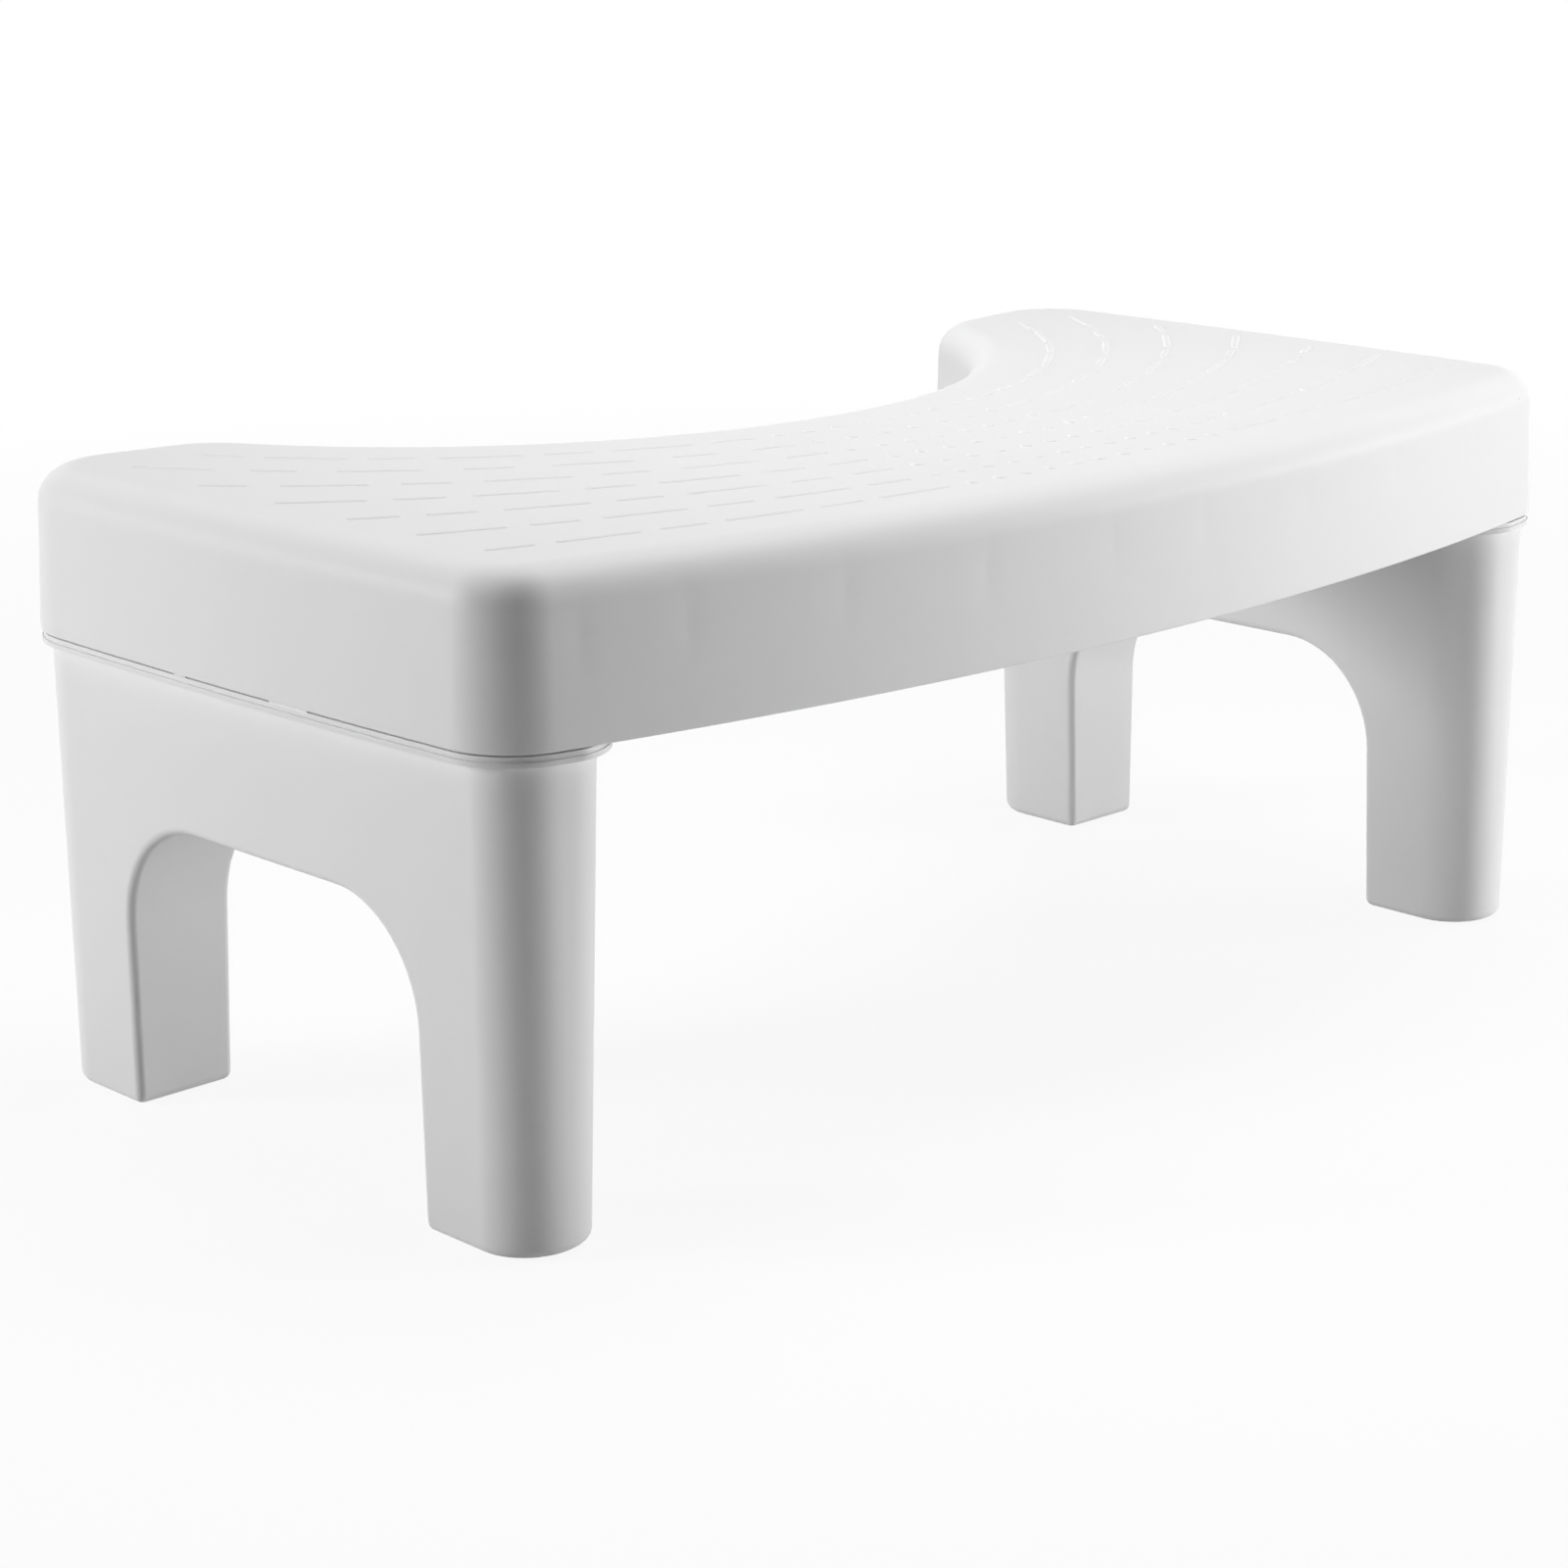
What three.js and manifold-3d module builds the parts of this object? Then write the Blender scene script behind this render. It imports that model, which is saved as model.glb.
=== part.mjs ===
/**
 * Toilet footstool: a moulded top with a recess for the bowl, on two hollow arched leg frames that
 * plug into its underside, with a rubber pad under each foot.
 *
 * Millimetres. X runs along the length, -Y is the front, +Y the side with the recess, +Z is up.
 * The group is moved so that its origin is on the floor, under the middle of the top.
 */
import * as THREE from 'three';
import { mergeVertices } from 'three/addons/utils/BufferGeometryUtils.js';
import Module from 'manifold-3d';

const wasm = await Module();
wasm.setup();

// Driving dimensions

const top = {
  height: 177, // floor to the standing face
  length: 432, // along X, at the skirt's lower edge
  endWidth: 218, // along Y, from a front corner to the rear line
  endBulge: 2.6, // how far each end curves out past its corners
  frontBulge: 25.8, // the same for the front
  recessDepth: 109, // rear line to the deepest point of the recess
  earLength: 69, // along X, from an end to the recess
  earSlant: 11, // how far an ear's rear edge comes forward at the recess
  frontCornerRadius: 21.8,
  rearCornerRadius: 27.5,
  recessCornerRadius: 28,
  skirtDepth: 45,
  wall: 3,
  edgeRadius: 10, // between the standing face and the skirt
  rimRadius: 0.8, // along the skirt's lower edge
  draft: 1.8, // degrees that the skirt flares out downward
};

const frame = {
  seam: 0.6, // open joint between the skirt and a frame's collar
  endInset: 5.7, // from the top's end to the frame's outer face
  rearInset: 10.5, // from the rear line to the frame's rear face
  frontReach: 2, // from the top's front corners forward to the frame's front face
  thickness: 36.5, // along X, under the collar
  frontCornerRadius: 16,
  rearCornerRadius: 18,
  leastFlat: 0.5, // left between two corners where a face gets too narrow for their radius
  wall: 3.5,
  draft: 1.06, // degrees that each face leans in downward
  splay: 0.45, // degrees that the whole frame leans out downward
  footRadius: 2.2,
  footFloor: 5.5, // solid floor inside each foot
  frontLeg: 40.6, // along Y, from the front face to the arch at the floor
  rearLeg: 42.1, // the same from the rear face
  archHeight: 84.5,
  archRadius: 32,
  archEdgeRadius: 3,
  archDraft: 0.5, // degrees that each jamb leans in upward
  webThickness: 2,
  webSpacing: 44,
  webDrop: 12, // from the collar down to the webs' upper edge
};

const collar = {
  overhang: 3.8, // out from the frame's faces, except where the skirt's outline limits it
  setback: 0.3, // in from the skirt's outline
  upperHeight: 1.3,
  lowerHeight: 1.5,
  ledge: 0.5, // how far the upper tier stands back from the lower one
};

const spigot = {
  height: 29,
  inset: 2.2, // in from the frame's faces
  wall: 2,
  lead: 1.2, // chamfer round the top
  clearance: 0.4, // to the socket ribs, all round and above
};

const latch = {
  frontWidth: 16,
  rearWidth: 5,
  frontFromMiddle: 22.7, // from the middle of a frame to each lug
  rearFromMiddle: 24.8,
  gap: 0.3, // left between a lug and the skirt's edge
};

const ribs = {
  thickness: 2,
  depth: 28, // below the underside of the standing face
  socketDepth: 38, // the same round a spigot
  embed: 0.5, // how far a rib runs into the wall that carries it
  seatFromEnd: 26, // from the top's end to the rib over the middle of a spigot
  pitch: 47, // between ribs across the length
  firstFromEnd: 56,
  lanePitch: 36, // between ribs along the length
  laneFromFront: 33,
};

const grip = {
  height: 0.7,
  width: 2.4,
  longDash: 24.2,
  shortDash: 14.2,
  dotDiameter: 3.6,
  dotSpan: 98, // between the outer dots of the widest row
  dotMargin: 8, // from the last dot's centre to the first dash
  endMargin: 21.5, // from the top's end to the dashes
  fan: 61, // degrees that a row turns at most, from its middle to its end
  recessMargin: 13, // least distance from a dash to the recess
  frontInset: 22.8, // from the middle of the front edge to the first row
  rearInset: 25.5, // from the last row to the recess
  frontRowRadius: 694,
  rearRowRadius: 192,
  rowSpread: 0.8, // extra gap between the last two rows over the middle ones
};

const pad = {
  width: 20,
  length: 24,
  cornerRadius: 6,
  faceInset: 18.5, // from a foot's outer face to the middle of its pad
  thickness: 3,
  projection: 0.5, // below the foot
  clearance: 0.3,
  edge: 0.5, // chamfer round the lower face
};

const overrun = 2; // how far a cutter runs past what it cuts

// Rows of the grip pattern from the front to the recess: dots across the middle, with the share of the
// widest row's span that they take, then dashes read from the outer end inward, long (L) and short (S)
const gripRows = [
  { dots: 11, spanShare: 1, dashes: 'SLSLSL' },
  { dots: 11, spanShare: 1, dashes: 'LSLSLS' },
  { dots: 9, spanShare: 0.84, dashes: 'SSLSLSS' },
  { dots: 8, spanShare: 0.74, dashes: 'LSLSLSS' },
  { dots: 8, spanShare: 0.76, dashes: 'SLSLSLS' },
  { dots: 7, spanShare: 0.73, dashes: 'LSLSLSS' },
  { dots: 8, spanShare: 0.74, dashes: 'SLSLSLS' },
];

// Facets along each arc. Those of a mark count per quarter turn.
const steps = { corner: 6, end: 4, front: 20, recess: 24, edge: 5, inner: 2, foot: 3, arch: 7, archEdge: 3, mark: 2 };

// Places worked out from the sizes above

const skirtZ = top.height - top.skirtDepth;
const undersideZ = top.height - top.wall;
const frontY = -(top.endWidth + top.frontBulge) / 2;
const cornerY = frontY + top.frontBulge;
const rearY = cornerY + top.endWidth;
const recessY = rearY - top.recessDepth;
const topFlare = Math.tan(THREE.MathUtils.degToRad(top.draft));

const footZ = pad.projection;
const collarTopZ = skirtZ - frame.seam;
const collarZ = collarTopZ - collar.upperHeight - collar.lowerHeight;
const spigotTopZ = collarTopZ + spigot.height;
const frameOuterX = top.length / 2 - frame.endInset;
const frameX = frameOuterX - frame.thickness / 2;
const frameFrontY = cornerY - frame.frontReach;
const frameRearY = rearY - frame.rearInset;
const frameDepth = frameRearY - frameFrontY;
const frameY = (frameFrontY + frameRearY) / 2;
const archWidth = frameDepth - frame.frontLeg - frame.rearLeg;
const archY = frameFrontY + frame.frontLeg + archWidth / 2;
const frameTaper = Math.tan(THREE.MathUtils.degToRad(frame.draft));
const frameSplay = Math.tan(THREE.MathUtils.degToRad(frame.splay));

// Outlines: closed loops of points with their outward normals, anticlockwise seen from above

/** Adds an arc's points, with normals away from its centre, or towards it for a hollow. */
function addArc(loop, centre, radius, from, to, count, hollow = false) {
  const facing = hollow ? -1 : 1;
  for (let i = 0; i <= count; i++) {
    const angle = from + ((to - from) * i) / count;
    const normal = new THREE.Vector2(Math.cos(angle), Math.sin(angle));
    const point = centre.clone().addScaledVector(normal, radius);
    loop.push({ point, normal: normal.multiplyScalar(facing) });
  }
}

/** The radius of a circle whose arc has this half chord and rise. */
function arcRadius(halfChord, rise) {
  return (halfChord ** 2 + rise ** 2) / (2 * rise);
}

/** The first place where a line meets a circle. */
function lineMeetsCircle(start, direction, centre, radius) {
  const offset = start.clone().sub(centre);
  const along = offset.dot(direction);
  const across = offset.lengthSq() - along ** 2;
  return start.clone().addScaledVector(direction, -along - Math.sqrt(radius ** 2 - across));
}

/** The place where two circles meet on the left of the way from the first centre to the second. */
function circlesMeet(first, firstRadius, second, secondRadius) {
  const way = second.clone().sub(first);
  const distance = way.length();
  way.divideScalar(distance);
  const along = (firstRadius ** 2 - secondRadius ** 2 + distance ** 2) / (2 * distance);
  const across = Math.sqrt(firstRadius ** 2 - along ** 2);
  return new THREE.Vector2(-way.y, way.x).multiplyScalar(across).addScaledVector(way, along).add(first);
}

/** The direction of a point seen from a centre. */
function angleFrom(centre, point) {
  return Math.atan2(point.y - centre.y, point.x - centre.x);
}

/** The top's outline at the skirt's lower edge: bulging front and ends, two ears and the recess. */
function topOutline() {
  const endX = top.length / 2;
  const frontRadius = arcRadius(endX, top.frontBulge);
  const frontCentre = new THREE.Vector2(0, frontY + frontRadius);
  const endRadius = arcRadius(top.endWidth / 2, top.endBulge);
  const endCentre = new THREE.Vector2(endX - endRadius, (cornerY + rearY) / 2);
  const earX = endX - top.earLength;
  const earY = rearY - top.earSlant;
  const recessRadius = arcRadius(earX, earY - recessY);
  const recessCentre = new THREE.Vector2(0, recessY + recessRadius);

  // Centres of the corners, each one radius inside the two lines that its corner joins
  const front = circlesMeet(
    frontCentre, frontRadius - top.frontCornerRadius,
    endCentre, endRadius - top.frontCornerRadius,
  );
  const edge = new THREE.Vector2(earX - endX, earY - rearY).normalize();
  const edgeNormal = new THREE.Vector2(edge.y, -edge.x);
  const insideEdge = (radius) => new THREE.Vector2(endX, rearY).addScaledVector(edgeNormal, -radius);
  const rearStart = insideEdge(top.rearCornerRadius);
  const rear = lineMeetsCircle(rearStart, edge, endCentre, endRadius - top.rearCornerRadius);
  const innerStart = insideEdge(top.recessCornerRadius);
  const inner = lineMeetsCircle(innerStart, edge, recessCentre, recessRadius + top.recessCornerRadius);

  const frontAngle = angleFrom(frontCentre, front);
  const endAngles = [angleFrom(endCentre, front), angleFrom(endCentre, rear)];
  const rearAngle = Math.atan2(edgeNormal.y, edgeNormal.x);
  const recessAngle = angleFrom(recessCentre, inner);

  const right = [];
  addArc(right, frontCentre, frontRadius, -Math.PI / 2, frontAngle, steps.front / 2);
  addArc(right, front, top.frontCornerRadius, frontAngle, endAngles[0], steps.corner);
  addArc(right, endCentre, endRadius, ...endAngles, steps.end);
  addArc(right, rear, top.rearCornerRadius, endAngles[1], rearAngle, steps.corner);
  addArc(right, inner, top.recessCornerRadius, rearAngle, Math.PI + recessAngle, steps.corner);
  addArc(right, recessCentre, recessRadius, recessAngle, -Math.PI / 2, steps.recess / 2, true);
  const left = right.map(({ point, normal }) => ({
    point: new THREE.Vector2(-point.x, point.y),
    normal: new THREE.Vector2(-normal.x, normal.y),
  }));
  return withoutRepeats([...right, ...left.reverse()]);
}

/** A rounded rectangle's outline about a centre, with one radius for its front corners and one for its rear. */
function roundedRectangle(centre, width, depth, frontRadius, rearRadius) {
  const loop = [];
  const most = (Math.min(width, depth) - frame.leastFlat) / 2;
  const front = Math.min(frontRadius, most);
  const rear = Math.min(rearRadius, most);
  const corners = [[1, -1, front], [1, 1, rear], [-1, 1, rear], [-1, -1, front]];
  corners.forEach(([sideX, sideY, radius], i) => {
    const x = centre.x + sideX * (width / 2 - radius);
    const y = centre.y + sideY * (depth / 2 - radius);
    const from = ((i - 1) * Math.PI) / 2;
    addArc(loop, new THREE.Vector2(x, y), radius, from, from + Math.PI / 2, steps.corner);
  });
  return withoutRepeats(loop);
}

/** Leaves out each point that repeats the one before it. */
function withoutRepeats(loop) {
  return loop.filter(({ point }, i) => {
    const before = loop[(i + loop.length - 1) % loop.length].point;
    return point.distanceToSquared(before) > Number.EPSILON * loop[0].point.lengthSq();
  });
}

/** Points along a quarter circle that starts along one face and ends on the other, as distances from each. */
function quarterCircle(radius, count) {
  return Array.from({ length: count + 1 }, (_, i) => {
    const angle = (i * Math.PI) / 2 / count;
    return { near: radius * (1 - Math.cos(angle)), far: radius * (1 - Math.sin(angle)) };
  });
}

// Solids

/** A closed solid through rings of points, capped at both ends. Flatten lays a ring in a plane for its cap. */
function skin(rings, flatten) {
  const count = rings[0].length;
  const index = [];
  for (let start = 0; start < (rings.length - 1) * count; start += count) {
    for (let i = 0; i < count; i++) {
      const a = start + i;
      const b = start + ((i + 1) % count);
      index.push(a, b, b + count, a, b + count, a + count);
    }
  }
  const lastRing = (rings.length - 1) * count;
  const capOf = (ring) => THREE.ShapeUtils.triangulateShape(ring.map(flatten), []);
  for (const [a, b, c] of capOf(rings[0])) index.push(c, b, a);
  for (const [a, b, c] of capOf(rings.at(-1))) index.push(lastRing + a, lastRing + b, lastRing + c);
  const geometry = new THREE.BufferGeometry().setFromPoints(rings.flat());
  geometry.setIndex(index);
  return toSolid(geometry);
}

/** A loop's points moved in by an inset and set at a height. */
function ringOf(loop, inset, z) {
  return loop.map(({ point, normal }) => (
    new THREE.Vector3(point.x - normal.x * inset, point.y - normal.y * inset, z)
  ));
}

/** A closed solid through level rings. */
function stack(rings) {
  return skin(rings, ({ x, y }) => new THREE.Vector2(x, y));
}

/**
 * A closed solid through copies of a loop, each moved in by its inset and set at its height.
 * The first copy is capped facing down and the last facing up, so stations that go down an inner wall
 * and up an outer one make a shell that is open below.
 */
function loft(loop, stations) {
  return stack(stations.map(({ inset, z }) => ringOf(loop, inset, z)));
}

/** Turns a closed three.js geometry into a solid for cutting and joining. */
function toSolid(geometry) {
  const bare = geometry.clone();
  bare.deleteAttribute('normal');
  bare.deleteAttribute('uv');
  const merged = mergeVertices(bare);
  return new wasm.Manifold(new wasm.Mesh({
    numProp: 3,
    vertProperties: new Float32Array(merged.attributes.position.array),
    triVerts: new Uint32Array(merged.index.array),
  }));
}

/** A box between two corners. */
function box(low, high) {
  const size = new THREE.Vector3().subVectors(high, low);
  const centre = new THREE.Vector3().addVectors(low, high).multiplyScalar(1 / 2);
  const geometry = new THREE.BoxGeometry(size.x, size.y, size.z);
  geometry.translate(centre.x, centre.y, centre.z);
  return toSolid(geometry);
}

/** Joins a list of solids. */
function joined(solids) {
  return solids.reduce((sum, solid) => sum.add(solid));
}

/** A named mesh of one solid in one material. */
function piece(name, solid, { color, roughness }) {
  const result = solid.getMesh();
  const geometry = new THREE.BufferGeometry();
  geometry.setAttribute('position', new THREE.Float32BufferAttribute(result.vertProperties, 3));
  geometry.setIndex(new THREE.Uint32BufferAttribute(result.triVerts, 1));
  geometry.computeVertexNormals();
  const material = new THREE.MeshStandardMaterial({ color, roughness, metalness: 0 });
  const mesh = new THREE.Mesh(geometry, material);
  mesh.name = name;
  return mesh;
}

// Top

/** Stations up a quarter round from a wall at the given inset to a face at the given height. */
function quarterRound(inset, faceZ, radius, count) {
  return quarterCircle(radius, count).map(({ near, far }) => ({ inset: inset + near, z: faceZ - far }));
}

/** The inner skin from the underside down, moved outward by the given growth. */
function innerSkin(growth, bottomZ) {
  const radius = top.edgeRadius - top.wall + growth;
  const faceZ = undersideZ + growth;
  const insetAt = (z) => top.wall - growth + (z - skirtZ) * topFlare;
  const round = quarterRound(insetAt(faceZ - radius), faceZ, radius, steps.inner);
  return [...round.reverse(), { inset: insetAt(bottomZ), z: bottomZ }];
}

/** The hollow platform: standing face, flared skirt and rounded lower edge. */
function topShell(outline) {
  const wallTopZ = top.height - top.edgeRadius;
  const rimZ = skirtZ + top.rimRadius;
  const rim = [
    { inset: top.wall - top.rimRadius, z: skirtZ },
    { inset: top.rimRadius, z: skirtZ },
    { inset: top.rimRadius * (1 - Math.SQRT1_2), z: skirtZ + top.rimRadius * (1 - Math.SQRT1_2) },
  ];
  return loft(outline, [
    ...innerSkin(0, rimZ),
    ...rim,
    { inset: (rimZ - skirtZ) * topFlare, z: rimZ },
    ...quarterRound((wallTopZ - skirtZ) * topFlare, top.height, top.edgeRadius, steps.edge),
  ]);
}

/** The space a spigot needs in its socket, with clearance all round. */
function socketSpace(side) {
  const grown = { inset: spigot.inset - spigot.clearance };
  return loft(frameSection(side), [
    { ...grown, z: skirtZ - overrun },
    { ...grown, z: spigotTopZ + spigot.clearance },
  ]);
}

/** The rib grid under the standing face, and the deeper ribs that hold the spigots. */
function undersideRibs(outline) {
  const half = ribs.thickness / 2;
  const ceilingZ = undersideZ + ribs.embed;
  const endX = top.length / 2;
  const across = (x, depth) => box(
    new THREE.Vector3(x - half, frontY, undersideZ - depth),
    new THREE.Vector3(x + half, rearY, ceilingZ),
  );
  const along = (y, fromX, toX, depth) => box(
    new THREE.Vector3(fromX, y - half, undersideZ - depth),
    new THREE.Vector3(toX, y + half, ceilingZ),
  );
  const socketWallX = frameOuterX - frame.thickness + spigot.inset - spigot.clearance - half;
  const grid = [];
  for (const side of [-1, 1]) {
    grid.push(across(side * socketWallX, ribs.socketDepth));
    grid.push(across(side * (endX - ribs.seatFromEnd), ribs.socketDepth));
    for (let x = endX - ribs.firstFromEnd; x > half; x -= ribs.pitch) {
      grid.push(across(side * x, ribs.depth));
    }
  }
  for (let y = frontY + ribs.laneFromFront; y < rearY - top.earSlant; y += ribs.lanePitch) {
    grid.push(along(y, -socketWallX, socketWallX, ribs.depth));
    grid.push(along(y, socketWallX, endX, ribs.socketDepth));
    grid.push(along(y, -endX, -socketWallX, ribs.socketDepth));
  }
  const inside = loft(outline, [...innerSkin(ribs.embed, skirtZ - overrun)].reverse());
  return joined(grid).intersect(inside).subtract(socketSpace(-1)).subtract(socketSpace(1));
}

/** A flat raised bar with rounded ends, or a round dot where its length is no more than its width. */
function raisedMark(x, y, angle, length, width) {
  const shape = new THREE.Shape();
  const radius = width / 2;
  const reach = Math.max(length / 2 - radius, 0);
  shape.absarc(reach, 0, radius, -Math.PI / 2, Math.PI / 2);
  shape.absarc(-reach, 0, radius, Math.PI / 2, (3 * Math.PI) / 2);
  const depth = grip.height + ribs.embed;
  const geometry = new THREE.ExtrudeGeometry(shape, { depth, bevelEnabled: false, curveSegments: steps.mark });
  geometry.rotateZ(angle);
  geometry.translate(x, y, top.height - ribs.embed);
  return toSolid(geometry);
}

/** The grip pattern: rows of dots and dashes on arcs that fan from the front edge to the recess. */
function gripPattern() {
  const firstY = frontY + grip.frontInset;
  const lastY = recessY - grip.rearInset;
  const lastRow = gripRows.length - 1;
  const endX = top.length / 2 - grip.endMargin;
  const fan = THREE.MathUtils.degToRad(grip.fan);
  const earX = top.length / 2 - top.earLength;
  const recessRadius = arcRadius(earX, rearY - top.earSlant - recessY);
  const marks = [];
  gripRows.forEach(({ dots, spanShare, dashes }, row) => {
    const share = row / lastRow;
    const evenY = THREE.MathUtils.lerp(firstY, lastY, share);
    const y0 = evenY - grip.rowSpread * lastRow * share * (1 - share);
    const radius = 1 / THREE.MathUtils.lerp(1 / grip.frontRowRadius, 1 / grip.rearRowRadius, share);
    const place = (arc, length, width) => {
      const angle = arc / radius;
      const x = radius * Math.sin(angle);
      const y = y0 + radius * (1 - Math.cos(angle));
      const toRecess = Math.hypot(x, y - recessY - recessRadius) - recessRadius;
      const onEar = y < rearY - top.earSlant - grip.recessMargin;
      if (onEar && toRecess > grip.recessMargin) marks.push(raisedMark(x, y, angle, length, width));
    };
    const span = grip.dotSpan * spanShare;
    for (let i = 0; i < dots; i++) {
      place(span * (i / (dots - 1) - 1 / 2), grip.dotDiameter, grip.dotDiameter);
    }
    const lengths = [...dashes].map((letter) => (letter === 'L' ? grip.longDash : grip.shortDash));
    const dashSum = lengths.reduce((sum, length) => sum + length);
    const outer = radius * Math.min(Math.asin(Math.min(endX / radius, 1)), fan);
    const inner = span / 2 + grip.dotMargin;
    const gap = (outer - inner - dashSum) / (lengths.length - 1);
    let end = outer;
    for (const length of lengths) {
      place(end - length / 2, length, grip.width);
      place(length / 2 - end, length, grip.width);
      end -= length + gap;
    }
  });
  return joined(marks);
}

// Leg frames

/** How far a frame's faces have leaned in at a height. */
function taperAt(z) {
  return (collarZ - z) * frameTaper;
}

/** The middle of a frame's thickness at a height. */
function middleX(side, z) {
  return side * (frameX + (collarZ - z) * frameSplay);
}

/** A frame's rounded section at a height under its collar. */
function frameSection(side, z = collarZ) {
  const centre = new THREE.Vector2(middleX(side, z), frameY);
  const width = frame.thickness - 2 * taperAt(z);
  const depth = frameDepth - 2 * taperAt(z);
  return roundedRectangle(centre, width, depth, frame.frontCornerRadius, frame.rearCornerRadius);
}

/** One half of the arch's profile, from the floor, where the jamb flares out like a foot, up to the roof. */
function archProfile(margin) {
  const lean = Math.tan(THREE.MathUtils.degToRad(frame.archDraft));
  const springing = frame.archHeight - frame.archRadius;
  const halfAt = (height) => archWidth / 2 + margin - height * lean;
  const outward = new THREE.Vector2(1, 0);
  const profile = [{ point: new THREE.Vector2(halfAt(0) + frame.footRadius, -overrun), normal: outward }];
  for (const { near, far } of quarterCircle(frame.footRadius, steps.foot).reverse()) {
    profile.push({ point: new THREE.Vector2(halfAt(far) + near, far), normal: outward });
  }
  const centre = new THREE.Vector2(halfAt(springing) - margin - frame.archRadius, springing);
  addArc(profile, centre, frame.archRadius + margin, 0, Math.PI / 2, steps.arch);
  return profile;
}

/**
 * The arch's opening, grown by the given margin and cut right through along X. It widens towards both
 * faces of the frame, so that the edges it leaves are round.
 */
function archSpace(side, margin) {
  const half = archProfile(margin);
  const otherHalf = half.map(({ point, normal }) => ({
    point: new THREE.Vector2(-point.x, point.y),
    normal: new THREE.Vector2(-normal.x, normal.y),
  }));
  const loop = [...half, ...otherHalf.reverse()];
  const ringAt = (face, depth, growth) => loop.map(({ point, normal }) => {
    const z = footZ + point.y + normal.y * growth;
    const across = frame.thickness / 2 - taperAt(z) - depth;
    return new THREE.Vector3(middleX(side, z) + face * across, archY + point.x + normal.x * growth, z);
  });
  const edge = quarterCircle(frame.archEdgeRadius, steps.archEdge);
  edge.unshift({ near: -overrun, far: frame.archEdgeRadius });
  const rings = [
    ...edge.map(({ near, far }) => ringAt(-1, near, far)),
    ...edge.reverse().map(({ near, far }) => ringAt(1, near, far)),
  ];
  return skin(rings, ({ y, z }) => new THREE.Vector2(y, z));
}

/** A collar's section: it overhangs the frame and runs past the top's end, where the skirt limits it. */
function collarSection(side) {
  const innerX = frameOuterX - frame.thickness - collar.overhang;
  const outerX = top.length / 2 + overrun;
  const centre = new THREE.Vector2((side * (innerX + outerX)) / 2, frameY);
  const depth = frameDepth + 2 * collar.overhang;
  const frontRadius = frame.frontCornerRadius + collar.overhang;
  const rearRadius = frame.rearCornerRadius + collar.overhang;
  return roundedRectangle(centre, outerX - innerX, depth, frontRadius, rearRadius);
}

/** One tier of a collar, kept flush with the skirt. */
function collarTier(outline, side, ledge, lowZ, highZ) {
  const inset = ledge + collar.setback;
  const tier = loft(collarSection(side), [{ inset: ledge, z: lowZ }, { inset: ledge, z: highZ }]);
  return tier.intersect(loft(outline, [{ inset, z: lowZ - overrun }, { inset, z: highZ + overrun }]));
}

/** The outside of a frame: rounded feet, tapered legs, two-tier collar and spigot. */
function frameBody(outline, side) {
  const lowerTopZ = collarZ + collar.lowerHeight;
  const foot = quarterCircle(frame.footRadius, steps.foot).map(({ near, far }) => (
    ringOf(frameSection(side, footZ + near), far, footZ + near)
  ));
  const legs = stack([...foot, ringOf(frameSection(side), 0, collarZ)]);
  const plug = loft(frameSection(side), [
    { inset: spigot.inset, z: collarZ },
    { inset: spigot.inset, z: spigotTopZ - spigot.lead },
    { inset: spigot.inset + spigot.lead / 2, z: spigotTopZ },
  ]);
  const lower = collarTier(outline, side, 0, collarZ, lowerTopZ);
  const upper = collarTier(outline, side, collar.ledge, lowerTopZ, collarTopZ);
  return joined([legs, lower, upper, plug]);
}

/** The inside of a frame: one wall in from its faces, open at the top of the spigot. */
function frameHollow(side) {
  const floorZ = footZ + frame.footFloor;
  const neck = spigot.inset + spigot.wall;
  const space = stack([
    ringOf(frameSection(side, floorZ), frame.wall, floorZ),
    ringOf(frameSection(side), frame.wall, collarZ),
    ringOf(frameSection(side), neck, collarTopZ),
    ringOf(frameSection(side), neck, spigotTopZ + overrun),
  ]);
  const webs = [-1, 0, 1].map((place) => {
    const y = archY + place * frame.webSpacing;
    return box(
      new THREE.Vector3(side * frameX - frame.thickness, y - frame.webThickness / 2, footZ),
      new THREE.Vector3(side * frameX + frame.thickness, y + frame.webThickness / 2, collarZ - frame.webDrop),
    );
  });
  return space.subtract(archSpace(side, frame.wall)).subtract(joined(webs));
}

/** The two lugs on a collar's outer side that close the seam where the frame latches. */
function latchLugs(side) {
  const outerX = top.length / 2 - collar.setback - collar.ledge;
  const innerX = top.length / 2 - top.wall;
  const lowX = Math.min(side * innerX, side * outerX);
  const highX = Math.max(side * innerX, side * outerX);
  const lug = (y, width) => box(
    new THREE.Vector3(lowX, y - width / 2, collarTopZ - collar.upperHeight / 2),
    new THREE.Vector3(highX, y + width / 2, skirtZ - latch.gap),
  );
  const front = lug(frameY - latch.frontFromMiddle, latch.frontWidth);
  return front.add(lug(frameY + latch.rearFromMiddle, latch.rearWidth));
}

/** The middle of the pad under the front or rear foot of a frame, seen from above. */
function footCentre(side, place) {
  const faceY = frameY + place * (frameDepth / 2 - taperAt(footZ));
  return new THREE.Vector2(middleX(side, footZ), faceY - place * pad.faceInset);
}

/** The pocket under a foot that holds its pad. */
function padPocket(centre) {
  const loop = roundedRectangle(centre, pad.width, pad.length, pad.cornerRadius, pad.cornerRadius);
  const roofZ = pad.thickness + pad.clearance;
  return loft(loop, [
    { inset: -pad.clearance, z: footZ - overrun },
    { inset: -pad.clearance, z: roofZ },
  ]);
}

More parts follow.
